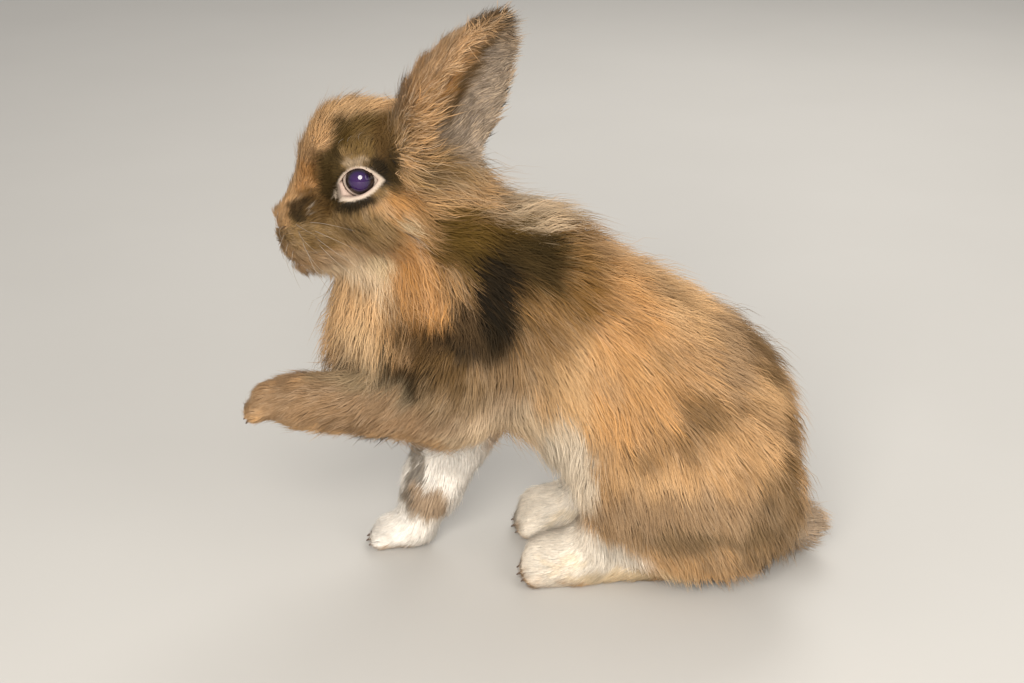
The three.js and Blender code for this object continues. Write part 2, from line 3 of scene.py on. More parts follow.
import bpy
import numpy as np
from mathutils.kdtree import KDTree
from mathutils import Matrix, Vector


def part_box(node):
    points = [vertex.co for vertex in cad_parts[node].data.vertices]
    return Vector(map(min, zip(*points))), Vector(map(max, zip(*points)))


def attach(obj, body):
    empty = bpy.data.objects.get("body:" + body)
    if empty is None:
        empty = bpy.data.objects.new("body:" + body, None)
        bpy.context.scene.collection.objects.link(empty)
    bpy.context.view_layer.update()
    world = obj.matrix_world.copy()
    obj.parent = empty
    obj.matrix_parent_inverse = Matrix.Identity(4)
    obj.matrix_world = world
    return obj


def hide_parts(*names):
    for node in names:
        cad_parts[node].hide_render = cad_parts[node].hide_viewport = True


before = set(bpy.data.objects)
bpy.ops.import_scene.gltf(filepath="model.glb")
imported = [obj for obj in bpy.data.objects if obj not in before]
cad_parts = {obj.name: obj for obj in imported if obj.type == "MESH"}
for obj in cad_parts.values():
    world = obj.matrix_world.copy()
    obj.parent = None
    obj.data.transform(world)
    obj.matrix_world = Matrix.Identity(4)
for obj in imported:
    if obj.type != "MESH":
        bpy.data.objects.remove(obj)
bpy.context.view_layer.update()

LEFT, RIGHT = -1, 1
F = np.float32


# Small tools. Points and directions are arrays of shape (3, n)

def column(values):
    return np.array(values, F).reshape(3, 1)


def unit(v):
    return v / np.maximum(np.sqrt((v * v).sum(0)), 1e-9)


def cross(a, b):
    return np.stack([a[1] * b[2] - a[2] * b[1], a[2] * b[0] - a[0] * b[2], a[0] * b[1] - a[1] * b[0]])


def rotation(axis, degrees):
    c, s = math.cos(math.radians(degrees)), math.sin(math.radians(degrees))
    return np.array({
        "x": [[1, 0, 0], [0, c, -s], [0, s, c]],
        "y": [[c, 0, s], [0, 1, 0], [-s, 0, c]],
        "z": [[c, -s, 0], [s, c, 0], [0, 0, 1]],
    }[axis], F)


def circle(sides):
    return 2 * math.pi * np.arange(sides) / sides


def mirrored(Q):
    return np.stack([Q[0], np.abs(Q[1]), Q[2]])


def smoothstep(a, b, x):
    t = np.clip((x - a) / (b - a), 0, 1)
    return t * t * (3 - 2 * t)


def share_of_reach(Q, at, reach):
    """1 on the ellipsoid round a place with a reach along each axis, less inside it."""
    return np.sqrt(sum(((q - a) / r) ** 2 for q, a, r in zip(Q, at, reach)))


def blend(a, b, softness):
    h = np.maximum(softness - np.abs(a - b), 0) / softness
    return np.minimum(a, b) - h * h * softness / 4


def carve(a, b, softness):
    """a with b cut out of it, over a rounded edge."""
    return -blend(-a, b, softness)


def ellipsoid(P, at, radii, tilt=0):
    c, s = math.cos(math.radians(tilt)), math.sin(math.radians(tilt))
    dx, dz = P[0] - at[0], P[2] - at[2]
    u = (dx * c - dz * s) / radii[0]
    v = (P[1] - at[1]) / radii[1]
    w = (dx * s + dz * c) / radii[2]
    k = np.sqrt(u * u + v * v + w * w)
    u /= radii[0]
    v /= radii[1]
    w /= radii[2]
    return k * (k - 1) / np.maximum(np.sqrt(u * u + v * v + w * w), 1e-9)


def taper(P, start, end, radii):
    way = np.subtract(end, start).astype(F)
    px, py, pz = P[0] - start[0], P[1] - start[1], P[2] - start[2]
    h = np.clip((px * way[0] + py * way[1] + pz * way[2]) / float(way @ way), 0, 1)
    dx, dy, dz = px - h * way[0], py - h * way[1], pz - h * way[2]
    return np.sqrt(dx * dx + dy * dy + dz * dz) - (radii[0] + (radii[1] - radii[0]) * h)


# Coats: depth of the hair over the skin, length of a hair, its width, hairs on a square millimetre,
# the way it lies (forward, outward, up on the head; x, outward, z elsewhere), how far it stands up
# beyond its depth, and how much it gathers in locks
COAT_NUMBERS = ("depth", "hair", "width", "density", "lie", "lift", "clump")
COATS = {
    "nose": (1.6, 3, 0.31, 6, (-0.8, 0.1, 0.5), 1, 0.05),
    "bridge": (2.4, 5, 0.33, 4.6, (-0.85, 0.05, 0.5), 1, 0.08),
    "pad": (2.3, 4.6, 0.31, 5, (-0.9, 0.3, -0.3), 1, 0.08),
    "chin": (3, 7, 0.35, 3.4, (-0.6, 0.1, -0.7), 1.1, 0.15),
    "forehead": (6, 12, 0.28, 2.8, (-0.6, 0.05, 0.8), 1.6, 0.3),
    "skull": (5, 12, 0.32, 2.8, (-0.95, 0.1, 0.15), 1.15, 0.25),
    "jaw": (4.5, 11, 0.32, 2.4, (-0.8, 0.1, -0.6), 1.1, 0.22),
    "cheek": (5, 10, 0.3, 2.9, (-0.88, 0.25, -0.35), 1.05, 0.2),
    "neck": (13, 25, 0.34, 1.7, (0.6, 0, -0.8), 1.1, 0.3),
    "throat": (10, 20, 0.33, 1.6, (0.2, 0, -1), 1.1, 0.3),
    "mane": (11, 24, 0.34, 1.9, (0.8, 0.05, 0.1), 1.5, 0.42),
    "withers": (11.5, 23, 0.34, 1.8, (0.72, 0.05, 0.5), 2, 0.42),
    "chest": (11, 22, 0.33, 1.5, (0.4, 0, -0.9), 1.05, 0.25),
    "ribs": (10, 20, 0.3, 1.55, (0.58, 0, -0.8), 1.12, 0.13),
    "loin": (9, 18.5, 0.3, 1.55, (0.6, 0, -0.8), 1.12, 0.1),
    "belly": (8, 16, 0.3, 1.4, (0.6, 0, -0.6), 1.1, 0.25),
    "seat": (8, 16.5, 0.3, 1.5, (0.45, 0, -0.9), 1.05, 0.14),
    "tail": (6, 14, 0.28, 2, (1, 0, -0.05), 1.2, 0.12),
    "thigh": (7.5, 15.5, 0.3, 1.6, (0.38, 0, -0.92), 1.05, 0.12),
    "hock": (3.5, 8, 0.37, 2.6, (-0.3, 0, -0.95), 1, 0.12),
    "foot": (2.2, 6, 0.35, 4.2, (-1, 0, -0.15), 1, 0.1),
    "toe": (1.6, 5.2, 0.33, 5, (-1, 0, -0.12), 1, 0.12),
    "upper_arm": (7, 12.5, 0.3, 1.7, (-0.35, 0, -0.94), 1.05, 0.22),
    "forearm": (4.2, 10, 0.39, 2.6, (-0.86, 0, -0.5), 1.05, 0.2),
    "shank": (3.2, 8.5, 0.37, 3, (-0.2, 0, -1), 1, 0.18),
    "paw": (1.9, 5, 0.33, 4.6, (-1, 0, -0.25), 1, 0.1),
}
HEAD_COATS = ("nose", "bridge", "pad", "chin", "forehead", "skull", "jaw", "cheek")


# Anatomy: the lobes whose blend is the rabbit's outline, out to the tips of the coat

def ball(coat, at, radii, soft=0, tilt=0):
    return {"coat": coat, "soft": soft, "shape": (ellipsoid, at, radii, tilt)}


def limb(coat, start, end, radii, soft=0):
    return {"coat": coat, "soft": soft, "shape": (taper, start, end, radii)}


# The head's frame: forward, left, up
HEAD = rotation("z", 4) @ rotation("y", -10) @ rotation("x", -10) @ rotation("z", 180)
HEAD_MIDDLE = column((-60, 1.5, 173))
HEAD_MIDLINE = [
    ball("skull", (-5, 0, 3), (30, 24, 26)),
    ball("forehead", (5, 0, 15), (13, 14, 14), 10),
    limb("bridge", (8, 0, 6), (27, 0, -12), (15, 11), 8),
    ball("nose", (24, 0, -19), (14.5, 13, 14), 8),
    ball("chin", (25, 0, -26), (9, 8, 7), 6),
    limb("jaw", (20, 0, -24), (-10, 0, -20), (8, 14), 8),
]
HEAD_PAIRED = [
    ball("pad", (25, 7, -19), (12, 9, 10.5)),
    ball("cheek", (-4, 14, -12), (20, 13, 17), 10),
]
NECK = [
    limb("neck", (-40, 1, 162), (-14, 0, 120), (28, 38)),
    limb("throat", (-62, 1, 143), (-50, 0, 108), (16, 26), 14),
    ball("mane", (-32.5, 1, 165), (18.5, 33, 23), 9),
]
TRUNK = [
    ball("chest", (-28, 0, 100), (48, 38, 42), tilt=-25),
    ball("ribs", (21, 0, 103.5), (54, 42, 45), 20, 25),
    ball("withers", (0, 0, 136), (28, 26, 20), 20),
    ball("loin", (66, 0, 72), (60.5, 46, 48), 22, 36),
    ball("belly", (52, 0, 64), (38, 36, 26), 16),
    ball("seat", (88, 0, 37), (30, 36, 31), 12),
]
TAIL = [limb("tail", (114, 0, 17), (126, 0, 13.5), (14, 12))]
HIND_TOE = {LEFT: 3, RIGHT: 0.6}  # place of the toes along X
HIND_SIDE = 22  # of a foot from the midline
HIND_HEEL = 64  # from the toes


def thigh(side):
    return [ball("thigh", (74, side * 31, 48), (51, 23, 43), tilt=18)]


def toe_fan(root, tip, spreads, curve, radii, soft):
    """Toes fanned out round the line from a paw's root to its middle tip, the outer ones shorter."""
    return [
        limb(
            "toe", (root[0], root[1] + spread * 0.8, root[2]),
            (tip[0] + abs(spread) * curve, tip[1] + spread, tip[2]), radii, soft,
        )
        for spread in spreads
    ]


def hind_foot(side):
    toe, y = HIND_TOE[side], side * HIND_SIDE
    return [
        limb("foot", (toe + 15, y, 8.5), (toe + HIND_HEEL, y + side, 9), (10, 9)),
        ball("foot", (toe + 16, y, 9), (13, 12, 10.5), 8),
        *toe_fan((toe + 16, y, 8), (toe + 4.8, y, 4.6), (-9, -3.2, 3.2, 9), 0.3, (5.5, 4.8), 3),
        limb("hock", (toe + 26, y, 10), (toe + 46, y + side * 4, 34), (10, 18), 10),
    ]


def paw_toes(x, y, z, drop):
    return toe_fan((x, y, z), (x - 8.5, y, z - drop), (-6.4, -2.2, 2.2, 6.4), 0.35, (4.6, 3.9), 2.5)


RIGHT_FORELEG = [
    limb("shank", (-17, 14, 72), (-34.5, 9, 30), (22, 12.5)),
    limb("shank", (-34.5, 9, 30), (-41.5, 9, 12), (12.5, 10), 8),
    ball("paw", (-48, 9, 7.2), (12, 9.5, 8), 6),
    *paw_toes(-51, 9, 6, 2.2),
]
LEFT_FORELEG = [
    limb("upper_arm", (-20, -26, 104), (-24, -28, 89), (26, 19)),
    limb("forearm", (-25, -28, 86), (-84, -25, 84), (18.5, 12.5), 14),
    ball("paw", (-95, -24.5, 84), (12, 9.5, 8.5), 6, 8),
    *paw_toes(-98, -24.5, 83, 3),
]
# Each group with the softness of its blend into those before it
BODY = [
    (NECK, 14), (TRUNK, 18), (TAIL, 10), (thigh(LEFT), 12), (thigh(RIGHT), 12),
    (hind_foot(LEFT), 6), (hind_foot(RIGHT), 6), (RIGHT_FORELEG, 8), (LEFT_FORELEG, 10),
]


def into_head(P):
    return HEAD.T @ (P - HEAD_MIDDLE)


def out_of_head(Q):
    return HEAD @ Q + HEAD_MIDDLE


def merged(parts, P, seen):
    d = None
    for part in parts:
        shape, *numbers = part["shape"]
        own = shape(P, *numbers)
        seen(part["coat"], own)
        d = own if d is None else blend(d, own, part["soft"])
    return d


def outline(P, seen=lambda coat, d: None):
    """The distance to the tips of the coat, without the ears. seen is told of each lobe's own."""
    Q = into_head(P)
    d = blend(merged(HEAD_MIDLINE, Q, seen), merged(HEAD_PAIRED, mirrored(Q), seen), 8)
    for parts, softness in BODY:
        d = blend(d, merged(parts, P, seen), softness)
    return d


def nearness(d, softness):
    return np.exp(np.clip(-d / softness, -14, 14))


# Ears: a cupped leaf along its axis, in a frame of opening, across and axis

EAR_SHARE = [0.0, 0.18, 0.45, 0.7, 0.9, 1.0]  # of the way from root to tip
EAR_CUP = [13, 18, 20, 17.5, 11.5, 4]  # radius there
EAR_ARC = [110, 94, 80, 72, 62, 52]  # half of the arc there, degrees
EAR_SWEEP = 5  # lean of the tip to the open side
EAR_BOW = 5  # bend of the middle away from it
EAR_SKIN = 1.15  # half of the gristle's thickness
EAR_LOWEST = 168  # height
EAR_REACH = (15, 48)  # middle and half of its length along X, from its root


def ear_frame(root, tip, opening):
    root = np.array(root, F)
    axis = np.array(tip, F) - root
    length = float(np.linalg.norm(axis))
    axis /= length
    opening = np.array(opening, F)
    opening -= axis * float(opening @ axis)
    opening /= np.linalg.norm(opening)
    return root.reshape(3, 1), np.stack([opening, np.cross(axis, opening), axis], 1).astype(F), length


EARS = {
    LEFT: ear_frame((-42, -9, 186), (-9, -16, 241), (0.74, -0.67, 0)),
    RIGHT: ear_frame((-42, 15, 182), (-12, 25, 227), (0.74, 0.67, 0)),
}


def into_ear(side, P):
    """Distance to the leaf, share of its length, place on its arc (-1 to 1), and distance outside its arc."""
    root, basis, length = EARS[side]
    q = basis.T @ (P - root)
    share = np.clip(q[2] / length, 0, 1)
    cup = np.interp(share, EAR_SHARE, EAR_CUP).astype(F)
    arc = np.radians(np.interp(share, EAR_SHARE, EAR_ARC)).astype(F)
    u = q[0] - EAR_SWEEP * share * share + EAR_BOW * 4 * share * (1 - share) - cup
    around = np.arctan2(q[1], -u)
    radial = np.sqrt(u * u + q[1] * q[1]) - cup
    ex = u + cup * np.cos(arc)
    ey = np.abs(q[1]) - cup * np.sin(arc)
    flat = np.where(np.abs(around) <= arc, np.abs(radial), np.sqrt(ex * ex + ey * ey))
    over = q[2] - share * length
    return np.sqrt(flat * flat + over * over), share, around / arc, radial


# Skin: the outline less the coat's depth, with the face's folds, lids, nose, mouth and the ears

DEPTH_SPREAD = 5.0  # how far the depth of one lobe's coat reaches into the next
EYE_RADIUS = 8.2
EYE_SIDE = 14.2  # from the head's midline
EYE_GAP = 0.12  # the globe stays inside its radius by this, and the lids outside it
LID = 1.15  # thickness
CREASE = (2.3, 0.45, 0.9)  # behind the lids' edge, its depth and its width
SOLE = 0.9  # height of the flat soles
HEAD_BOX = (column((2, 0, 0)), column((48, 42, 46)))  # middle and half of its size, with room to spare
ALMOND_MIDDLE = 2.5
ALMOND_TILT = 0.13
LID_EDGE = (4.3, -6.2, 8.7, -2.9)  # top, bottom, half length and height of the corners of the opening
LID_RING = (5.1, -7.8, 11.2, -3.7)  # the same for the pale ring round it
# Added or cut, shape in the head's frame, on both sides, and softness
FACE_BONES = [
    (blend, ellipsoid, ((0.5, 16.2, 9.4), (9.5, 4.6, 3.2), 6), 4),  # brow
    (blend, ellipsoid, ((3, 16, -9.5), (11, 4.4, 3), -8), 4),  # cheekbone
    (carve, ellipsoid, ((15, 15.5, -2.5), (5, 3.2, 4)), 5),  # hollow in front of the eye
]
NOSE_AND_MOUTH = [
    (blend, ellipsoid, ((35.2, 0, -12.8), (3.6, 5.6, 3.8)), 2.2),  # nose pad
    (blend, ellipsoid, ((34.6, 4.6, -13.4), (2.8, 2.6, 2.8)), 1.4),  # its wing
    (carve, taper, ((39.4, 1.7, -15.6), (36.6, 5.9, -12.2), (0.75, 0.85)), 0.7),  # nostril
    (carve, taper, ((39.2, 0, -15.6), (37.2, 0, -25.2), (0.75, 0.8)), 1),  # cleft of the lip
    (blend, ellipsoid, ((32.5, 3.9, -21.4), (5.2, 4.6, 4.6)), 2.4),  # upper lip
    (carve, taper, ((36.6, 0, -26.2), (33, 6.6, -27.2), (0.9, 0.8)), 0.9),  # front of the mouth
    (carve, taper, ((33, 6.6, -27.2), (23.5, 11.6, -27), (0.8, 0.5)), 0.9),  # its corner
    (blend, ellipsoid, ((29.2, 0, -29.4), (5.6, 5.4, 3.4)), 1.6),  # lower lip
]


def almond(Q, top, bottom, half, corner):
    """How far a point of the head's frame is inside the almond of the lids, in millimetres."""
    along = Q[0] - ALMOND_MIDDLE
    x = np.abs(along) / half
    height = Q[2] + ALMOND_TILT * along
    reach, slope = x ** 2.2, 2.2 * x ** 1.2 / half
    upper = top + (corner - top) * reach - height
    lower = height - bottom - (corner - bottom) * reach
    return np.minimum(
        upper / np.sqrt(1 + ((corner - top) * slope) ** 2),
        lower / np.sqrt(1 + ((corner - bottom) * slope) ** 2),
    )


def lids(d, a):
    """A shell round the globe, opened as an almond, with a crease along its edge."""
    dx, dy, dz = a[0], a[1] - EYE_SIDE, a[2]
    globe = np.sqrt(dx * dx + dy * dy + dz * dz)
    d = blend(d, globe - (EYE_RADIUS + LID), 3.2)
    edge = almond(a, *LID_EDGE)
    opening = np.maximum(-edge, EYE_SIDE + 1.5 - a[1])
    d = carve(d, opening, 1.1)
    back, depth, width = CREASE
    crease = np.abs(globe - EYE_RADIUS - LID * 0.9) + np.abs(edge + back) * 0.8
    d = d + depth * np.exp(-(crease / width) ** 2)
    return carve(d, globe - (EYE_RADIUS + EYE_GAP), 0.25)


def face(s, P):
    Q = into_head(P)
    middle, half = HEAD_BOX
    near = (np.abs(Q - middle) < half).all(0)
    if not near.any():
        return s
    a = mirrored(Q[:, near])
    d = s[near]
    for join, shape, numbers, softness in FACE_BONES:
        d = join(d, shape(a, *numbers), softness)
    d = lids(d, a)
    for join, shape, numbers, softness in NOSE_AND_MOUTH:
        d = join(d, shape(a, *numbers), softness)
    out = s.copy()
    out[near] = d
    return out


def skin(P):
    total, depths = np.zeros((2, P.shape[1]), F)

    def seen(coat, d):
        w = nearness(d, DEPTH_SPREAD)
        total[:] += w
        depths[:] += COATS[coat][0] * w

    s = outline(P, seen) + depths / total
    middle, half = EAR_REACH
    for side in (LEFT, RIGHT):
        root = EARS[side][0]
        near = (P[2] > EAR_LOWEST) & (np.abs(P[0] - root[0] - middle) < half)
        if near.any():
            away, share, turn, _ = into_ear(side, P[:, near])
            thick = EAR_SKIN * (1.25 - 0.55 * share) * (1.1 - 0.35 * np.clip(np.abs(turn), 0, 1) ** 2)
            base = 4.0 * (1 - smoothstep(0.0, 0.35, share)) * (1 - smoothstep(0.2, 0.9, np.abs(turn)))
            s[near] = blend(s[near], away - thick - 0.35 * base, 5.0)
    return np.maximum(face(s, P), SOLE - P[2])


# Surface: a mesh of quads on a field's zero, over a grid with finer steps where the detail is

BLOCK = 6  # grid steps on a side of the blocks that are looked at first
CORNERS = [(i, j, k) for i in (0, 1) for j in (0, 1) for k in (0, 1)]


def in_chunks(field, P, size=40000):
    out = np.empty(P.shape[1], F)
    for i in range(0, P.shape[1], size):
        out[i:i + size] = field(P[:, i:i + size])
    return out


def steepest(field, P, e):
    d = in_chunks(field, P)
    slope = np.empty_like(P)
    for n in range(3):
        Q = P.copy()
        Q[n] += e
        slope[n] = (in_chunks(field, Q) - d) / e
    return d, slope


def grid_lines(*zones):
    """Lines from zones of (start, step), up to the last one's start and on to a whole block."""
    lines = []
    for (start, step), (end, _) in zip(zones, zones[1:]):
        n = max(1, round((end - start) / step))
        lines.append(start + (end - start) * np.arange(n) / n)
    lines = np.concatenate([*lines, [zones[-1][0]]]).astype(F)
    spare = (-(len(lines) - 1)) % BLOCK
    step = lines[-1] - lines[-2]
    return np.concatenate([lines, lines[-1] + step * np.arange(1, spare + 1)]).astype(F)


def at_corner(values, corner, size=1):
    """The values at one corner of every cell."""
    return values[tuple(slice(c, n - size + c) for c, n in zip(corner, values.shape))]


def sampled(field, axes):
    """The field on a grid, worked out only in the blocks that its surface may cross."""
    coarse = [a[::BLOCK] for a in axes]
    mesh = np.meshgrid(*coarse, indexing="ij")
    rough = in_chunks(field, np.stack([m.ravel() for m in mesh]).astype(F)).reshape(mesh[0].shape)
    corners = np.stack([at_corner(rough, corner) for corner in CORNERS])
    x, y, z = (np.diff(c) for c in coarse)
    reach = np.sqrt(x[:, None, None] ** 2 + y[None, :, None] ** 2 + z[None, None, :] ** 2)
    values = corners[0]
    for n in range(3):
        values = np.repeat(values, BLOCK, n)
    values = np.pad(values, [(0, 1)] * 3, mode="edge").astype(F)
    wanted = np.zeros(values.shape, bool)
    for block in np.argwhere(np.abs(corners).min(0) < reach * 1.1) * BLOCK:
        wanted[tuple(slice(i, i + BLOCK + 1) for i in block)] = True
    at = np.nonzero(wanted)
    values[at] = in_chunks(field, np.stack([axes[n][at[n]] for n in range(3)]).astype(F))
    return values


def crossing_middles(values, cells, axes):
    """The middle of the surface's crossings of each cell's edges."""
    total = np.zeros((3, len(cells)), F)
    crossings = np.zeros(len(cells), F)
    for a in CORNERS:
        for n in range(3):
            if a[n]:
                continue
            b = tuple(1 if m == n else a[m] for m in range(3))
            ia, ib = cells + np.array(a), cells + np.array(b)
            va, vb = values[tuple(ia.T)], values[tuple(ib.T)]
            crossed = (va < 0) != (vb < 0)
            t = np.where(crossed, va / np.where(crossed, va - vb, 1), 0)
            for m in range(3):
                pa, pb = axes[m][ia[:, m]], axes[m][ib[:, m]]
                total[m] += np.where(crossed, pa + (pb - pa) * t, 0)
            crossings += crossed
    return total / crossings


def surface(field, axes):
    """Surface nets: one vertex in each cell that the surface crosses, then settled onto it."""
    values = sampled(field, axes)
    inside = values < 0
    count = sum(at_corner(inside, corner).astype(np.int8) for corner in CORNERS)
    cells = np.argwhere((count > 0) & (count < 8))
    index = np.full(count.shape, -1, np.int32)
    index[tuple(cells.T)] = np.arange(len(cells))
    quads = []
    for n in range(3):
        here = inside[1:-1, 1:-1, 1:-1]
        there = at_corner(inside, 1 + np.eye(3, dtype=int)[n], 2)
        at = np.argwhere(here != there) + 1
        ring = []
        for back in ((0, 0), (1, 0), (1, 1), (0, 1)):
            c = at.copy()
            c[:, [(n + 1) % 3, (n + 2) % 3]] -= back
            ring.append(index[tuple(c.T)])
        ring = np.stack(ring, 1)
        outward = ~here[tuple((at - 1).T)]
        ring[outward] = ring[outward][:, ::-1]
        quads.append(ring)
    P = crossing_middles(values, cells, axes)
    cell = np.min([np.diff(axes[n])[cells[:, n]] for n in range(3)], 0)
    for _ in range(3):
        d, slope = steepest(field, P, 0.12)
        step = np.clip(d / np.maximum((slope * slope).sum(0), 0.3), -0.4 * cell, 0.4 * cell)
        P = P - slope * step
    return P, np.concatenate(quads)


def eye_to_eye():
    """Millimetres from the anatomy's frame to the model's, by the left eye."""
    low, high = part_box("eye_left")
    seen = (np.array(low) + np.array(high)) / 2 * 1000
    eye = out_of_head(column((0, EYE_SIDE, 0)))[:, 0]
    return (seen - eye).astype(F).reshape(3, 1)


SHIFT = eye_to_eye()


def to_model(P):
    return ((P + SHIFT) / 1000).T.astype(F)


def mesh_object(name, points, faces, material):
    """points is (3, n) in the anatomy's frame; faces is one array of equal polygons."""
    mesh = bpy.data.meshes.new(name)
    mesh.vertices.add(points.shape[1])
    mesh.vertices.foreach_set("co", to_model(points).ravel())
    mesh.loops.add(faces.size)
    mesh.loops.foreach_set("vertex_index", faces.astype(np.int32).ravel())
    mesh.polygons.add(len(faces))
    mesh.polygons.foreach_set("loop_start", np.arange(0, faces.size, faces.shape[1], dtype=np.int32))
    mesh.update(calc_edges=True)
    mesh.polygons.foreach_set("use_smooth", np.full(len(faces), True))
    mesh.validate()
    mesh.materials.append(material)
    thing = bpy.data.objects.new(name, mesh)
    bpy.context.scene.collection.objects.link(thing)
    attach(thing, "root")
    return thing


def paint(thing, name, colours):
    """colours is (3, n), linear, one for each vertex."""
    layer = thing.data.color_attributes.new(name, "FLOAT_COLOR", "POINT")
    rgba = np.ones((colours.shape[1], 4), F)
    rgba[:, :3] = colours.T
    layer.data.foreach_set("color", rgba.ravel())


def store(thing, name, values):
    layer = thing.data.attributes.new(name, "FLOAT", "POINT")
    layer.data.foreach_set("value", values.astype(F))


def lay_map(thing, places, faces):
    """places is (n, 2), one for each vertex."""
    layer = thing.data.uv_layers.new(name="OFBake")
    layer.data.foreach_set("uv", places[faces.ravel()].astype(F).ravel())


def tube_faces(rows, sides, start=0):
    """Triangles round a tube, between so many rows of rings."""
    faces = []
    for i in range(rows):
        for j in range(sides):
            a, b = start + i * sides + j, start + i * sides + (j + 1) % sides
            faces += [(a, b + sides, b), (a, a + sides, b + sides)]
    return faces


def spindle_faces(rings, sides):
    """Triangles of a closed shape: a point, so many rings, and a point."""
    faces = tube_faces(rings - 1, sides, 1)
    last = 1 + (rings - 1) * sides
    for j in range(sides):
        k = (j + 1) % sides
        faces += [(0, 1 + j, 1 + k), (last + k, last + j, last + sides)]
    return np.array(faces)


class Waves:
    """Seeded noise from sums of waves, size millimetres long."""

    def __init__(self, seed, size, terms=10, channels=1):
        rng = np.random.default_rng(seed)
        way = rng.normal(size=(channels, terms, 3))
        way /= np.linalg.norm(way, axis=2, keepdims=True)
        self.k = (way * rng.uniform(0.6, 1.7, (channels, terms, 1)) * 2 * math.pi / size).astype(F)
        self.phase = rng.uniform(0, 2 * math.pi, (channels, terms)).astype(F)

    def __call__(self, P):
        out = [np.sin(k @ P + p[:, None]).sum(0) / math.sqrt(len(k) / 2) for k, p in zip(self.k, self.phase)]
        return np.stack(out).astype(F)


# Markings, the same for skin and coat. Colours are linear

ORANGE = (0.57, 0.29, 0.103)
ORANGE_DEEP = (0.45, 0.215, 0.065)
PALE_ORANGE = (0.66, 0.4, 0.19)
TAN = (0.52, 0.3, 0.135)
MID_TAN = (0.3, 0.185, 0.085)
BEIGE = (0.52, 0.35, 0.19)
PALE_BEIGE = (0.62, 0.47, 0.31)
GREY_BEIGE = (0.3, 0.19, 0.102)
BEIGE_GREY = (0.46, 0.345, 0.235)
GREY_BROWN = (0.175, 0.113, 0.056)
MID_BROWN = (0.22, 0.12, 0.045)
BROWN = (0.1, 0.054, 0.016)
UMBER = (0.145, 0.07, 0.012)
FOREARM = (0.245, 0.15, 0.08)
FOREARM_TOP = (0.215, 0.165, 0.098)
OLIVE = (0.082, 0.046, 0.007)
OLIVE_TAN = (0.215, 0.133, 0.053)
BLACK_BROWN = (0.04, 0.025, 0.007)
BLACK = (0.012, 0.008, 0.003)
CREAM = (0.68, 0.53, 0.33)
PALE_GREY = (0.73, 0.62, 0.48)
TAIL_GREY = (0.44, 0.32, 0.22)
GREY = (0.33, 0.28, 0.225)
WHITE = (0.82, 0.74, 0.63)
# White for the far foreleg and paw: their own white made brighter, painted light that offsets the shade on
# that leg
WHITE_WITH_PAINTED_LIGHT = (0.89, 0.84, 0.77)
RING_WHITE = (0.54, 0.44, 0.34)
EAR_ORANGE = (0.53, 0.225, 0.04)
EAR_PALE = (0.25, 0.2, 0.155)

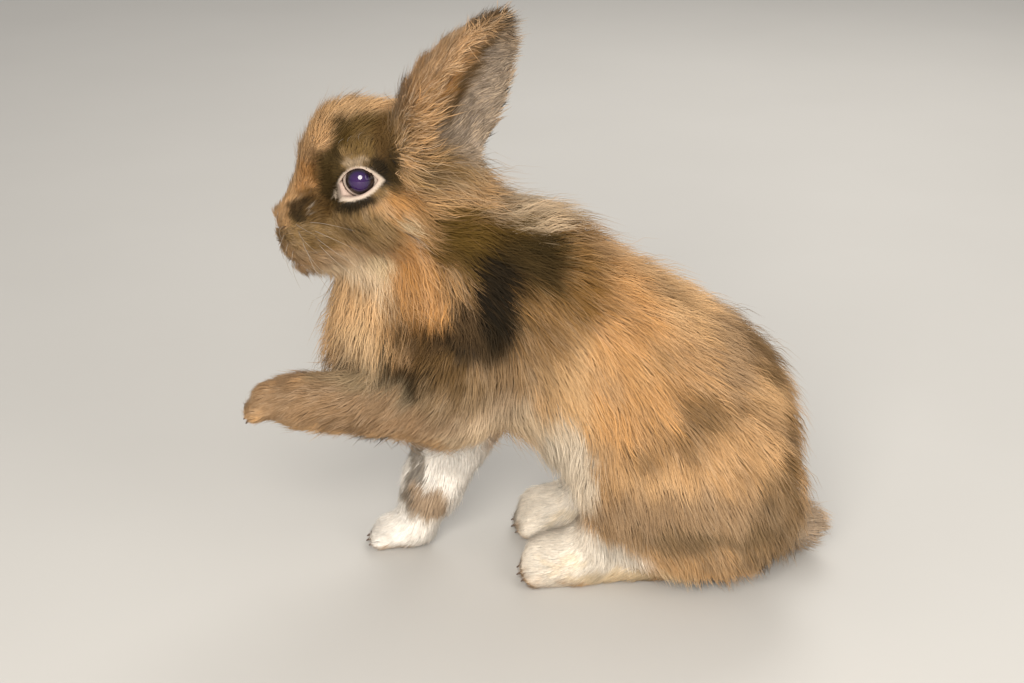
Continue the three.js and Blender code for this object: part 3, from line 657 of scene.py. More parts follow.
# Name, colour, middle, reach along and across, tilt of the reach from +X towards +Z in degrees,
# share, side (LEFT or RIGHT only, or 0 for both)
MARKINGS = [
    # belly: the fur's own pale beige, made lighter as painted light to offset the shade under the body
    ("belly", PALE_BEIGE, (-3, -33, 75), (32.7, 9.7), -5, 0.9, 0),
    ("flank_front", PALE_ORANGE, (25, -43, 98), (26.6, 14.3), 90, 0.8, 0),
    ("groin", PALE_GREY, (21, -32, 53), (25.8, 13.2), 90, 0.95, 0),
    ("flank_upper", ORANGE, (45, -35, 121), (18.8, 17.5), 90, 0.75, 0),
    ("flank_mid", ORANGE, (51, -46, 89), (20.7, 18.9), 0, 0.75, 0),
    ("back_rim", BEIGE, (67, -7, 129), (33.7, 6.4), -38, 0.8, 0),
    ("back_pale_2", PALE_ORANGE, (71, -9, 125), (21.1, 8.6), -41, 0.8, 0),
    ("back_tan", TAN, (40, -6, 145), (24.8, 6.9), -26, 0.7, 0),
    ("back_pale", PALE_ORANGE, (82, -11, 117), (14.4, 8.5), -44, 0.7, 0),
    ("back_grey", GREY_BEIGE, (92, -21, 105), (14.5, 7.1), -53, 0.7, 0),
    ("rump_pale", PALE_ORANGE, (108, -29, 82), (20.2, 10.6), 90, 0.75, 0),
    ("rump_low", TAN, (94, -49, 70), (20.9, 14.7), 0, 0.7, 0),
    ("hip_streak", GREY_BEIGE, (91, -34, 95), (12.8, 5.7), -63, 0.55, 0),
    ("flank_shade", MID_TAN, (56, -41, 103), (10.4, 6.4), 0, 0.35, 0),
    ("spot_hip", BROWN, (77, -46, 86), (9.6, 6.9), 0, 0.7, LEFT),
    ("spot_hip_low", MID_BROWN, (72, -50, 77), (8.6, 6.4), 90, 0.6, LEFT),
    ("spot_hip_front", MID_BROWN, (67, -45, 91), (7.2, 6), 0, 0.45, LEFT),
    ("spot_hip_rear", MID_BROWN, (93, -41, 86), (8.9, 3.9), -11, 0.6, LEFT),
    ("spot_back", MID_BROWN, (62, -14, 129), (8.3, 3), -38, 0.45, LEFT),
    ("spot_flank", GREY_BEIGE, (42, -44, 97), (7.7, 5.6), 90, 0.5, LEFT),
    ("spot_thigh", BROWN, (52, -51, 68), (7.2, 3.4), -11, 0.5, LEFT),
    ("thigh_warm", MID_BROWN, (62, -51, 75), (13.6, 6.9), 0, 0.45, LEFT),
    ("thigh_light", PALE_ORANGE, (58, -53, 56), (18.5, 6.1), 0, 0.7, 0),
    ("thigh_grey", GREY_BEIGE, (82, -53, 41), (47.8, 13.1), 0, 0.9, 0),
    ("thigh_dark", GREY_BROWN, (77, -52, 31), (29.3, 6.6), 0, 0.85, 0),
    ("thigh_front_grey", GREY_BEIGE, (44, -48, 38), (11.4, 10.6), 90, 0.7, 0),
    ("thigh_low_warm", TAN, (59, -46, 19), (23.1, 4), 0, 0.85, 0),
    # Low on the seat by the floor: partly the fur's own grey, partly painted shade
    ("seat_grey_painted_shade", GREY_BEIGE, (96, -45, 18), (23.2, 4.9), 0, 0.75, 0),
    ("seat_dark", GREY_BROWN, (110, -45, 28), (18.1, 10.6), 0, 0.7, 0),
    ("rump_dark", BROWN, (107, -5, 99), (20.1, 4.7), -54, 0.85, 0),
    ("rump_edge", BROWN, (117, -41, 57), (21.1, 4.5), 90, 0.8, 0),
    ("rump_shade", GREY_BROWN, (107, -48, 50), (11.3, 8.1), 90, 0.6, 0),
    ("tail", TAIL_GREY, (129, -12, 14), (13.9, 13), 90, 1, 0),
    ("throat", PALE_BEIGE, (-65, -19, 132), (17, 10.4), 0, 0.85, 0),
    ("breast", PALE_ORANGE, (-66, -22, 119), (14.6, 13.1), 0, 0.85, 0),
    ("breast_low", BEIGE, (-61, -30, 107), (12.9, 10.4), 0, 0.8, 0),
    ("breast_side", MID_BROWN, (-47, -34, 118), (14.6, 6.4), 90, 0.6, 0),
    ("neck_orange", ORANGE_DEEP, (-36, -32, 141), (24.7, 11.1), 90, 0.85, 0),
    ("neck_light", MID_TAN, (-31, -32, 157), (8.4, 6.3), 90, 0.6, 0),
    ("neck_top", MID_BROWN, (-34, -30, 175), (15.6, 10.9), 0, 0.7, 0),
    ("mane", OLIVE_TAN, (-20, -15, 180), (16.6, 14.5), 0, 0.85, 0),
    ("mane_low", TAN, (-20, -24, 171), (11.8, 5.9), 0, 0.7, 0),
    ("shoulder_mid", GREY_BROWN, (-5, -48, 103), (23.7, 12.7), 0, 0.7, LEFT),
    ("shoulder_low", BEIGE_GREY, (-13, -47, 87), (23.9, 6.9), 0, 0.7, LEFT),
    ("upper_arm", GREY_BROWN, (-29, -49, 95), (22.2, 11.1), 0, 0.85, LEFT),
    ("forearm_top", FOREARM_TOP, (-61, -38, 94), (24.9, 6), -5, 0.85, LEFT),
    ("forearm_low", FOREARM, (-69, -40, 84), (48.4, 10.4), -6, 0.9, LEFT),
    ("saddle_brown", UMBER, (19, -33, 135), (23, 20.6), 90, 0.85, 0),
    ("saddle_brown_low", MID_BROWN, (13, -41, 118), (13.6, 11.9), 90, 0.7, 0),
    ("saddle_olive", OLIVE, (-18, -31, 152), (14.4, 12.6), 90, 0.95, 0),
    ("saddle_top", OLIVE, (-2, -27, 153), (25.4, 11), -11, 0.95, 0),
    ("saddle_rear", BLACK_BROWN, (11, -29, 145), (14.3, 9.3), -18, 0.95, 0),
    ("saddle_core", BLACK, (-6, -39, 132), (19.9, 11.4), -85, 1, 0),
    ("saddle_low", BLACK, (-13, -47, 119), (16.5, 11.8), 0, 0.82, 0),
    ("saddle_front", BLACK, (-31, -46, 116), (14.9, 8.5), 0, 0.84, 0),
    ("saddle_gap", MID_BROWN, (-22, -37, 136), (7.6, 6.3), 90, 0.6, 0),
    ("elbow_dark", BLACK, (-43, -42, 100), (12, 6.4), -11, 0.85, LEFT),
    ("elbow_mid", BROWN, (-29, -49, 107), (10.2, 7.6), 0, 0.75, LEFT),
    ("elbow_streak", BROWN, (-22, -50, 97), (11, 2.4), 90, 0.6, LEFT),
    ("withers_rim", PALE_BEIGE, (11, 1, 159), (21.3, 3.1), -13, 0.7, 0),
    ("withers_front", MID_BROWN, (-6, -15, 163), (10.5, 3.4), 22, 0.5, 0),
    # far_leg and far_paw: the leg's own white, brightened as painted light where the far foreleg is shaded
    ("far_leg", WHITE_WITH_PAINTED_LIGHT, (-35, -5, 35), (38.9, 30.2), 90, 1, RIGHT),
    ("far_paw", WHITE_WITH_PAINTED_LIGHT, (-49, -1, 9), (19.3, 10.4), 0, 1, RIGHT),
    ("far_leg_tan", GREY_BEIGE, (-36, -5, 24), (9.5, 9.3), 0, 0.9, RIGHT),
    ("far_leg_streak", BLACK_BROWN, (-43, -1, 38), (17.6, 3), 79, 0.75, RIGHT),
    ("foot", WHITE, (25, -35, 15), (31.1, 12.2), 0, 1, 0),
    ("foot_far", WHITE, (15, 10, 14), (18.6, 16.2), 0, 1, RIGHT),
    ("foot_strip", CREAM, (54, -31, 5), (29.6, 4.1), 0, 0.8, 0),
    ("foot_cream", CREAM, (23, -35, 12), (9.3, 3.1), 22, 0.45, 0),
    ("pale_lock", CREAM, (-39, -32, 159), (4.6, 2.4), 90, 0.9, LEFT),
    ("grey_lock", GREY, (-35, -31, 152), (2.4, 2.1), 0, 0.8, LEFT),
]
# The same in the head's frame: forward, left, up, and the reach along each
HEAD_MARKINGS = [
    ("side", OLIVE_TAN, (-2.4, 23, 11.4), (19.6, 14, 21.9), 1),
    ("muzzle", OLIVE_TAN, (27, 16.9, -18.2), (12.8, 14, 11.6), 0.95),
    ("cheek", OLIVE_TAN, (14.6, 20.2, -18), (18.3, 14, 9.4), 0.95),
    ("cheek_dark", BROWN, (21.7, 16.6, -23.8), (5.2, 8, 4.7), 0.5),
    ("cheek_rear", OLIVE_TAN, (-1.9, 26.7, -23.5), (10.3, 13.6, 8.5), 0.9),
    ("cheek_low", GREY_BEIGE, (13.8, 14.2, -32.3), (12.1, 12.7, 5.2), 0.7),
    ("muzzle_low", GREY_BEIGE, (31.4, 12.4, -27.6), (8, 9.1, 4.3), 0.6),
    ("chin", PALE_BEIGE, (15.3, 11.7, -38.7), (13.7, 13.3, 4.3), 0.85),
    ("chin_cream", CREAM, (0.3, 19.7, -37.3), (5.6, 8, 4.7), 0.95),
    ("behind_eye_orange", ORANGE_DEEP, (-13.9, 31.7, -12.1), (7.8, 11.1, 7.6), 0.75),
    ("under_eye_tan", TAN, (-6.4, 30.2, -13.3), (4.7, 8, 3.8), 0.5),
    ("crown", PALE_ORANGE, (-6.4, 8.2, 28.1), (16.7, 14, 3.4), 0.9),
    ("bridge", ORANGE_DEEP, (22.5, 13.1, 2.9), (5.2, 9.6, 8.1), 0.95),
    ("bridge_edge", TAN, (29.7, 6, 0.1), (3.2, 8.2, 8.2), 0.8),
    ("bridge_brown", BROWN, (24.3, 12.9, -3.7), (6, 8, 2.6), 0.75),
    ("stripe_front", BROWN, (16.3, 17.7, 3.9), (4, 13.7, 15.3), 0.85),
    ("front_stripe", BLACK_BROWN, (10.6, 20.2, 9.1), (4.3, 14, 16.9), 0.92),
    ("front_stripe_top", BLACK_BROWN, (4.1, 17.9, 20.1), (3.5, 8, 6.8), 0.85),
    ("blaze", TAN, (13.5, 11.6, 22.9), (5.2, 10.4, 9.4), 1),
    ("brow", OLIVE, (-4.6, 20.6, 16.7), (9.8, 13.3, 8.4), 0.6),
    ("temple", BLACK, (-10.4, 27.2, 3.1), (7.8, 11.7, 8.4), 0.97),
    ("temple_top", BROWN, (-14, 21.7, 13.8), (6.7, 12.7, 11), 0.9),
    ("temple_rear", BLACK_BROWN, (-14.8, 28.4, 0.8), (4.7, 10.5, 10.1), 0.8),
    ("under_eye", BLACK, (5.7, 26.4, -9.5), (9.8, 9.7, 3.4), 0.97),
    ("under_eye_front", BLACK_BROWN, (15.4, 19.5, -5.8), (4.4, 8, 3.8), 0.9),
    ("front_of_eye", BLACK_BROWN, (13.4, 20.2, -0.4), (4, 8, 7.2), 0.85),
    ("brow_grey", GREY, (1.1, 23.6, 7.7), (5.1, 8, 2.1), 0.35),
    ("nose_patch", BLACK, (26.7, 13.7, -7.7), (6.8, 8.1, 4.3), 0.88),
    ("nose_side", BROWN, (19.6, 17, -9.8), (5.6, 8, 5.1), 0.85),
    ("nose_tip", TAN, (33.9, 9.8, -7.6), (2, 8, 6.9), 0.7),
    ("whisker_spot", GREY, (22.3, 15.5, -8.7), (1, 8, 1.8), 0.5),
    ("ear_root_dark", BROWN, (-18.5, 18.6, 16.7), (4.7, 11.2, 11), 0.6),
]
HEAD_SIDE_REACH = 5  # added to the reach to the side, for the depth of the coat
# Two sizes of noise that fray the patches' edges, and one that mottles the coat
RAGGED = Waves(3, 13, 12, 3)
RAGGED_FINE = Waves(4, 4.5, 12, 3)
MOTTLE = Waves(5, 22, 12)


def all_over(colour, n):
    return np.repeat(np.reshape(colour, (3, 1)), n, 1)


def patch(colours, colour, share):
    if isinstance(colour, tuple):
        colour = np.reshape(colour, (3, 1))
    return colours + (colour - colours) * share


def inside_patch(away):
    return 1 - smoothstep(0.72, 1.28, away)


def ear_markings(P, colours):
    for ear in (LEFT, RIGHT):
        away, share, turn, radial = into_ear(ear, P)
        on_ear = (1 - smoothstep(7, 11, away)) * smoothstep(0.06, 0.22, share)
        front = turn * ear
        outer = all_over(EAR_ORANGE, P.shape[1])
        outer = patch(outer, BEIGE_GREY, 0.35 * smoothstep(0.45, 0.8, share))
        outer = patch(outer, GREY_BEIGE, 0.7 * smoothstep(0.25, 0.75, front))
        outer = patch(outer, OLIVE_TAN, 0.75 * (1 - smoothstep(0.18, 0.42, share)))
        outer = patch(outer, MID_TAN, 0.6 * smoothstep(-0.05, -0.25, front))
        outer = patch(outer, BROWN, 0.55 * smoothstep(0.93, 1.0, share))
        outer = patch(outer, EAR_PALE, 0.7 * smoothstep(0.5, 0.8, -front))
        inner = all_over(EAR_PALE, P.shape[1])
        inner = patch(inner, GREY_BROWN, 0.5 * smoothstep(0.85, 0.97, share))
        # Painted shade: a brown band across the hollow, between its front part and its pale rear part. It is
        # the shade in the ear's fold, partly over dark hair
        inner = patch(inner, BROWN, 0.9 * smoothstep(-0.56, -0.44, front) * smoothstep(0.2, 0.3, share))
        inner = patch(inner, outer, smoothstep(-0.36, -0.24, front))
        colours = patch(colours, patch(outer, inner, smoothstep(-0.4, 0.4, -radial)), on_ear)
    return colours


def markings(P):
    """The coat's colour at points of the anatomy's frame."""
    ragged, fine = RAGGED(P), RAGGED_FINE(P)
    far = P + 1.7 * ragged + 0.8 * fine
    colours = all_over(TAN, P.shape[1]).astype(F)
    for _, colour, at, reach, tilt, share, side in MARKINGS:
        c, s = math.cos(math.radians(tilt)), math.sin(math.radians(tilt))
        dx, dz = far[0] - at[0], far[2] - at[2]
        amount = share * inside_patch(np.hypot((dx * c + dz * s) / reach[0], (dz * c - dx * s) / reach[1]))
        if side:
            amount = amount * smoothstep(-3, 3, far[1] + 12 if side == RIGHT else 2 - far[1])
        colours = patch(colours, colour, amount)
    near = P + 0.5 * ragged + 0.5 * fine
    colours = ear_markings(near, colours)
    Q = into_head(near)
    on_head = 1 - smoothstep(0.95, 1.12, share_of_reach(Q, (1, 0, 0), (44, 48, 40)))
    Q = mirrored(Q)
    for _, colour, at, (forward, outward, up), share in HEAD_MARKINGS:
        away = share_of_reach(Q, at, (forward, outward + HEAD_SIDE_REACH, up))
        colours = patch(colours, colour, share * inside_patch(away) * on_head)
    ring = smoothstep(0.2, 0.9, almond(into_head(P), *LID_RING)) * (Q[1] > 12)
    colours = patch(colours, RING_WHITE, ring)
    return colours * (1 + 0.10 * MOTTLE(far))


# Materials

def new_material(name):
    material = bpy.data.materials.new(name)
    material.use_nodes = True
    tree = material.node_tree
    return material, tree, tree.nodes["Principled BSDF"].inputs


def settle(inputs, values):
    for name, value in values.items():
        inputs[name].default_value = value


def noise(tree, scale, detail, stretch=None):
    where = tree.nodes.new("ShaderNodeTexCoord").outputs["Object"]
    if stretch:
        mapping = tree.nodes.new("ShaderNodeMapping")
        mapping.inputs["Scale"].default_value = stretch
        tree.links.new(where, mapping.inputs["Vector"])
        where = mapping.outputs["Vector"]
    texture = tree.nodes.new("ShaderNodeTexNoise")
    settle(texture.inputs, {"Scale": scale, "Detail": detail})
    tree.links.new(where, texture.inputs["Vector"])
    return texture.outputs["Fac"]


def uneven(tree, scale, detail, low, high):
    """Noise between two values."""
    node = tree.nodes.new("ShaderNodeMapRange")
    settle(node.inputs, {"To Min": low, "To Max": high})
    tree.links.new(noise(tree, scale, detail), node.inputs["Value"])
    return node.outputs["Result"]


def times(tree, colour, value):
    node = tree.nodes.new("ShaderNodeVectorMath")
    node.operation = "SCALE"
    tree.links.new(colour, node.inputs[0])
    tree.links.new(value, node.inputs["Scale"])
    return node.outputs["Vector"]


def attribute(tree, name, output="Color"):
    node = tree.nodes.new("ShaderNodeAttribute")
    node.attribute_name = name
    return node.outputs[output]


def ramp(tree, value, stops):
    node = tree.nodes.new("ShaderNodeValToRGB")
    band = node.color_ramp
    while len(band.elements) < len(stops):
        band.elements.new(0.5)
    for element, (at, colour) in zip(band.elements, stops):
        element.position = at
        element.color = (*colour, 1)
    tree.links.new(value, node.inputs["Fac"])
    return node.outputs["Color"]


def bump(tree, inputs, height, strength, distance):
    node = tree.nodes.new("ShaderNodeBump")
    settle(node.inputs, {"Strength": strength, "Distance": distance})
    tree.links.new(height, node.inputs["Height"])
    tree.links.new(node.outputs["Normal"], inputs["Normal"])


def coat_material():
    material, tree, inputs = new_material("coat")
    streaked = times(tree, attribute(tree, "coat_colour"), uneven(tree, 900, 2, 0.82, 1.18))
    tree.links.new(streaked, inputs["Base Color"])
    tree.links.new(uneven(tree, 260, 2, 0.62, 0.80), inputs["Roughness"])
    settle(inputs, {
        "Specular IOR Level": 0.10, "Sheen Weight": 0.02, "Sheen Roughness": 0.45,
        "Sheen Tint": (1.0, 0.93, 0.84, 1),
    })
    return material


def skin_material():
    material, tree, inputs = new_material("skin")
    mottled = times(tree, attribute(tree, "skin_colour"), uneven(tree, 700, 4, 0.80, 1.15))
    tree.links.new(mottled, inputs["Base Color"])
    tree.links.new(uneven(tree, 300, 3, 0.55, 0.78), inputs["Roughness"])
    bump(tree, inputs, noise(tree, 1400, 3, (0.5, 1.2, 1.2)), 0.35, 0.0005)
    inputs["Specular IOR Level"].default_value = 0.3
    return material


# Colours of the eye from the middle of the pupil: violet, a painted reflection of a flash in the pupil that
# is brightest at its middle, its rim, dark brown iris, its edge, white
EYE_STOPS = [
    (0.00, (0.036, 0.010, 0.074)),
    (0.20, (0.027, 0.007, 0.062)),
    (0.30, (0.018, 0.005, 0.048)),
    (0.35, (0.010, 0.004, 0.018)),
    (0.40, (0.014, 0.008, 0.008)),
    (0.46, (0.024, 0.014, 0.010)),
    (0.515, (0.012, 0.007, 0.006)),
    (0.55, (0.40, 0.33, 0.28)),
    (0.61, (0.54, 0.45, 0.38)),
]
EYE_FRAYED = 0.035  # how far noise moves the edges of the colours


def eye_material():
    material, tree, inputs = new_material("eye")
    frayed = tree.nodes.new("ShaderNodeMath")
    frayed.operation = "MULTIPLY_ADD"
    frayed.inputs[1].default_value = EYE_FRAYED
    tree.links.new(noise(tree, 900, 3), frayed.inputs[0])
    tree.links.new(attribute(tree, "polar", "Fac"), frayed.inputs[2])
    tree.links.new(ramp(tree, frayed.outputs["Value"], EYE_STOPS), inputs["Base Color"])
    tree.links.new(uneven(tree, 120, 2, 0.08, 0.16), inputs["Roughness"])
    settle(inputs, {"Coat Weight": 0.8, "Coat Roughness": 0.03, "Specular IOR Level": 0.25})
    return material


def claw_material():
    material, tree, inputs = new_material("claw")
    horn = ramp(tree, attribute(tree, "along", "Fac"), [(0, (0.30, 0.20, 0.13)), (1, (0.055, 0.038, 0.028))])
    tree.links.new(times(tree, horn, uneven(tree, 1500, 3, 0.75, 1.2)), inputs["Base Color"])
    tree.links.new(uneven(tree, 900, 2, 0.32, 0.5), inputs["Roughness"])
    bump(tree, inputs, noise(tree, 2500, 2, (0.3, 1.5, 1.5)), 0.25, 0.0002)
    return material


def floor_material():
    material, tree, inputs = new_material("floor")
    clouded = ramp(tree, noise(tree, 6, 3), [(0, (0.50, 0.485, 0.46)), (1, (0.54, 0.525, 0.50))])
    tree.links.new(clouded, inputs["Base Color"])
    inputs["Roughness"].default_value = 0.7
    return material


COAT, SKIN, EYE, CLAW = coat_material(), skin_material(), eye_material(), claw_material()


# Skin piece

LID_PINK = (0.47, 0.35, 0.29)
LID_PALE = (0.54, 0.44, 0.35)
NOSE_PINK = (0.23, 0.125, 0.09)
EAR_PINK = (0.40, 0.28, 0.22)
FLESH = [
    "head", "neck", "trunk", "tail", "ear_left", "ear_right", "thigh_left", "thigh_right",
    "hind_foot_left", "hind_foot_right", "foreleg_left", "foreleg_right", "forepaw_left", "forepaw_right",
]


def skin_colours(P, tips):
    """The markings at the tips over each point of the skin, with bare rims, nose and ear hollows."""
    colours = markings(tips)
    grey = colours.mean(0, keepdims=True)
    colours = (colours * 0.92 + grey * 0.08) * 0.95
    Q = mirrored(into_head(P))
    by_eye = smoothstep(12, 15, Q[1]) * (np.hypot(Q[0], Q[2]) < 16)
    colours = patch(colours, LID_PALE, smoothstep(-0.4, 0.4, almond(Q, *LID_RING)) * by_eye)
    colours = patch(colours, LID_PINK, 0.9 * smoothstep(-0.9, -0.1, almond(Q, *LID_EDGE)) * by_eye)
    nostril = 1 - smoothstep(0.8, 1.3, share_of_reach(Q, (38, 0, -14), (5, 6.5, 4.6)))
    colours = patch(colours, NOSE_PINK, 0.8 * nostril)
    for ear in (LEFT, RIGHT):
        away, share, _, radial = into_ear(ear, P)
        hollow = smoothstep(0.0, 0.8, -radial) * (1 - smoothstep(2, 4, away)) * smoothstep(0.02, 0.1, share)
        colours = patch(colours, EAR_PINK, 0.5 * hollow)
    return colours


skin_points, skin_quads = surface(skin, (
    grid_lines((-120, 1.2), (-99, 0.75), (-30, 1.2), (6, 1.9), (136, 1.9)),
    grid_lines((-58, 1.7), (-34, 0.85), (34, 1.7), (58, 1.7)),
    grid_lines((-3, 1.1), (22, 1.9), (72, 1.2), (98, 1.7), (138, 0.78), (214, 1.1), (250, 1.1)),
))
skin_piece = mesh_object("skin", skin_points, skin_quads, SKIN)
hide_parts(*FLESH)


# Eyes: a globe with a bulging cornea, turned to look outward

EYE_ROWS, EYE_SIDES = 60, 72
CORNEA_EDGE = math.radians(46)  # from the middle of the pupil
CORNEA_BULGE = 0.75


def basis_along(direction):
    z = np.array(direction, float)
    z /= np.linalg.norm(z)
    x = np.cross((0, 0, 1), z)
    x /= np.linalg.norm(x)
    return np.stack([x, np.cross(z, x), z], 1).astype(F)


def eye_piece(side, name):
    angle = circle(EYE_SIDES)
    rings = []
    for i in range(EYE_ROWS + 1):
        polar = math.pi * i / EYE_ROWS
        bulge = CORNEA_BULGE * math.cos(min(polar / CORNEA_EDGE, 1) * math.pi / 2) ** 1.5
        reach = EYE_RADIUS - EYE_GAP + bulge
        out, height = reach * math.sin(polar), reach * math.cos(polar)
        at_pole = i in (0, EYE_ROWS)
        rings.append(
            np.array([[0], [0], [height]]) if at_pole
            else np.stack([out * np.cos(angle), out * np.sin(angle), np.full(EYE_SIDES, height)])
        )
    points = np.concatenate(rings, 1).astype(F)
    polar = np.arctan2(np.hypot(points[0], points[1]), points[2]) / (math.pi / 2)
    placed = basis_along((0.18, -side, -0.09)) @ points + column((0, -side * EYE_SIDE, 0))
    thing = mesh_object("globe_" + name, out_of_head(placed), spindle_faces(EYE_ROWS - 1, EYE_SIDES), EYE)
    store(thing, "polar", polar)
    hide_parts("eye_" + name)


eye_piece(LEFT, "left")
eye_piece(RIGHT, "right")


# Claws: a bent horn with a rounded tip on each toe

CLAW_LENGTH = 5.5
CLAW_RADIUS = 1.1
CLAW_START = 3.2  # behind the toe's end
CLAW_BEND = 1.2  # fall of the tip
CLAW_ROWS, CLAW_SIDES = 14, 12
CLAW_ALONG = np.arange(CLAW_ROWS + 1) / CLAW_ROWS


def claw_points(tip, radius, dip):
    turn = rotation("y", -dip)
    root = np.array(tip, F) + turn @ np.array((-(radius - CLAW_START), 0, 0), F)
    angle = circle(CLAW_SIDES)
    rings = []
    for share in CLAW_ALONG:
        rounded = math.sqrt(max(1 - (max(share - 0.9, 0) / 0.1) ** 2, 0.02))
        r = CLAW_RADIUS * (1 - 0.68 * share ** 1.6) * rounded
        ring = np.stack([
            np.full(CLAW_SIDES, -share * CLAW_LENGTH),
            r * 0.72 * np.cos(angle),
            r * np.sin(angle) * np.where(np.sin(angle) < 0, 0.8, 1) - CLAW_BEND * share * share,
        ])
        rings.append(turn @ ring.astype(F) + root.reshape(3, 1))
    return np.concatenate(rings, 1)


def claw_faces():
    last = CLAW_ROWS * CLAW_SIDES
    faces = tube_faces(CLAW_ROWS, CLAW_SIDES)
    for j in range(1, CLAW_SIDES - 1):
        faces += [(0, j, j + 1), (last, last + j + 1, last + j)]
    return np.array(faces)


def claws(name, parts, dip):
    toes = [part["shape"] for part in parts if part["coat"] == "toe"]
    points = [claw_points(tip, radii[1], dip) for _, _, tip, radii in toes]
    faces = [claw_faces() + i * points[0].shape[1] for i in range(len(toes))]
    thing = mesh_object("claws_" + name, np.concatenate(points, 1), np.concatenate(faces), CLAW)
    store(thing, "along", np.tile(np.repeat(CLAW_ALONG, CLAW_SIDES), len(toes)))
    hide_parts(*["claw_%s_%d" % (name, i + 1) for i in range(len(toes))])


claws("hind_left", hind_foot(LEFT), 6)
claws("hind_right", hind_foot(RIGHT), 6)
claws("front_right", RIGHT_FORELEG, 6)
claws("front_left", LEFT_FORELEG, 30)


# Coat: what it is like at each place

def ear_coat(side, P):
    """The coat of an ear: long on its back and outer edge, short on its inner edge and in its hollow."""
    away, share, turn, radial = into_ear(side, P)
    opening, across, axis = np.hsplit(EARS[side][1], 3)
    t = np.clip(turn, -1, 1)
    forward = t * side
    edge = smoothstep(0.5, 1.0, np.abs(t))
    outer = smoothstep(-0.25, 0.25, forward)
    hollow = smoothstep(-0.4, 0.4, -radial)
    back = (1 - hollow) * (1 - smoothstep(0.35, 0.9, -forward))
    fringe = hollow * smoothstep(-0.5, -0.2, forward)
    rear = smoothstep(0.62, 0.95, -forward)
    angle = t * np.radians(np.interp(share, EAR_SHARE, EAR_ARC))
    outward = (across * np.cos(angle) + opening * np.sin(angle)) * np.sign(t)
    spread = (0.12 + 0.40 * edge * outer) * (1 - hollow) + rear * (0.85 * hollow - 0.30)
    hair = 4.5 + 3.5 * back + 3.5 * edge * outer - 1.0 * edge * (1 - outer)
    hair = hair + 3.5 * hollow * (1 - edge) + 3.0 * fringe
    hair = hair * (1 - 0.45 * rear * (1 - hollow)) + 4.0 * rear * hollow
    hair = hair + 6.0 * back * (1 - smoothstep(0.3, 0.55, share)) + 1.5 * smoothstep(0.85, 1.0, share)
    return {
        "weight": (1 - smoothstep(2.5, 6, away)) * smoothstep(0.0, 0.12, share),
        "lie": unit(axis + outward * spread - across * side * 0.45 * hollow * (1 - rear)),
        "rim": outward * edge,
        "hair": hair,
        "depth": 1.2 + 1.6 * back + 0.4 * edge * outer + 0.4 * hollow + 0.8 * fringe,
        "lift": (1 + 0.4 * back) * (1 - 0.5 * rear * (1 - hollow)),
        "width": 0.33,
        "density": 4.4 - 1.2 * hollow,
        "clump": 0.28,
    }


def hair_left(P):
    """Share of the hair left near the eyes and nose."""
    Q = mirrored(into_head(P))
    keep = np.where(Q[1] > 12, smoothstep(0.7, -0.3, almond(Q, *LID_RING)), 1)
    in_eye = np.sqrt(Q[0] ** 2 + (Q[1] - EYE_SIDE) ** 2 + Q[2] ** 2) < EYE_RADIUS + 0.6
    nose = share_of_reach(Q, (38.5, 0, -14), (3.5, 5.0, 2.6))
    return np.where(in_eye, 0, keep) * smoothstep(0.8, 1.2, nose)


COAT_SPREAD = 4.5  # how far one lobe's coat reaches into the next
LABELS = [*COATS, "ear_left", "ear_right"]
EAR_LABEL = {LEFT: LABELS.index("ear_left"), RIGHT: LABELS.index("ear_right")}
NEAR_EYE = {"hair": -0.72, "depth": -0.70, "width": -0.25, "density": 0.8, "clump": -0.8}  # change of each


def coat_at(P):
    """Everything about the coat at points: its numbers, its lie and the lobe that it belongs to."""
    n = P.shape[1]
    total = np.zeros(n, F)
    sums = {key: np.zeros(n, F) for key in COAT_NUMBERS if key != "lie"}
    on_head, elsewhere = np.zeros((2, 3, n), F)
    best, label = np.full(n, 1e9, F), np.zeros(n, int)

    def seen(coat, d):
        w = nearness(d, COAT_SPREAD)
        total[:] += w
        for key, value in zip(COAT_NUMBERS, COATS[coat]):
            if key == "lie":
                lies = on_head if coat in HEAD_COATS else elsewhere
                lies[:] += column(value) * w
            else:
                sums[key] += value * w
        nearer = d < best
        best[nearer] = d[nearer]
        label[nearer] = LABELS.index(coat)

    outline(P, seen)
    Q = into_head(P)
    on_head[1] *= np.clip(Q[1] / 5, -1, 1)
    elsewhere[1] *= np.clip(P[1] / 8, -1, 1)
    coat = {key: value / total for key, value in sums.items()}
    # Round the eye the hair is short and lies away from it
    reach = np.sqrt(Q[0] ** 2 + (Q[2] * 1.12) ** 2)
    by_eye = smoothstep(8, 12, np.abs(Q[1])) * (1 - smoothstep(9, 19, reach)) * (Q[0] < 30)
    from_eye = HEAD @ unit(np.stack([Q[0], np.zeros(n, F), Q[2] * 1.1]))
    lie = unit(HEAD @ on_head + elsewhere)
    coat["lie"] = unit(lie * (1 - 0.85 * by_eye) + from_eye * 1.3 * by_eye)
    for key, change in NEAR_EYE.items():
        coat[key] = coat[key] * (1 + change * by_eye)
    # Long hair is shorter near the floor
    low_hair = coat["hair"] * (0.62 + 0.38 * smoothstep(4, 26, P[2]))
    coat["hair"] = np.where(coat["hair"] > 9, low_hair, coat["hair"])
    coat.update(label=label, ear=np.zeros(n, F), rim=np.zeros((3, n), F))
    for side in (LEFT, RIGHT):
        ear = ear_coat(side, P)
        w = ear["weight"]
        coat["lie"] = unit(coat["lie"] * (1 - w) + ear["lie"] * w)
        for key in sums:
            coat[key] = coat[key] * (1 - w) + ear[key] * w
        coat["ear"] = np.maximum(coat["ear"], w)
        coat["rim"] = coat["rim"] + ear["rim"] * w
        coat["label"] = np.where(w > 0.5, EAR_LABEL[side], coat["label"])
    return coat


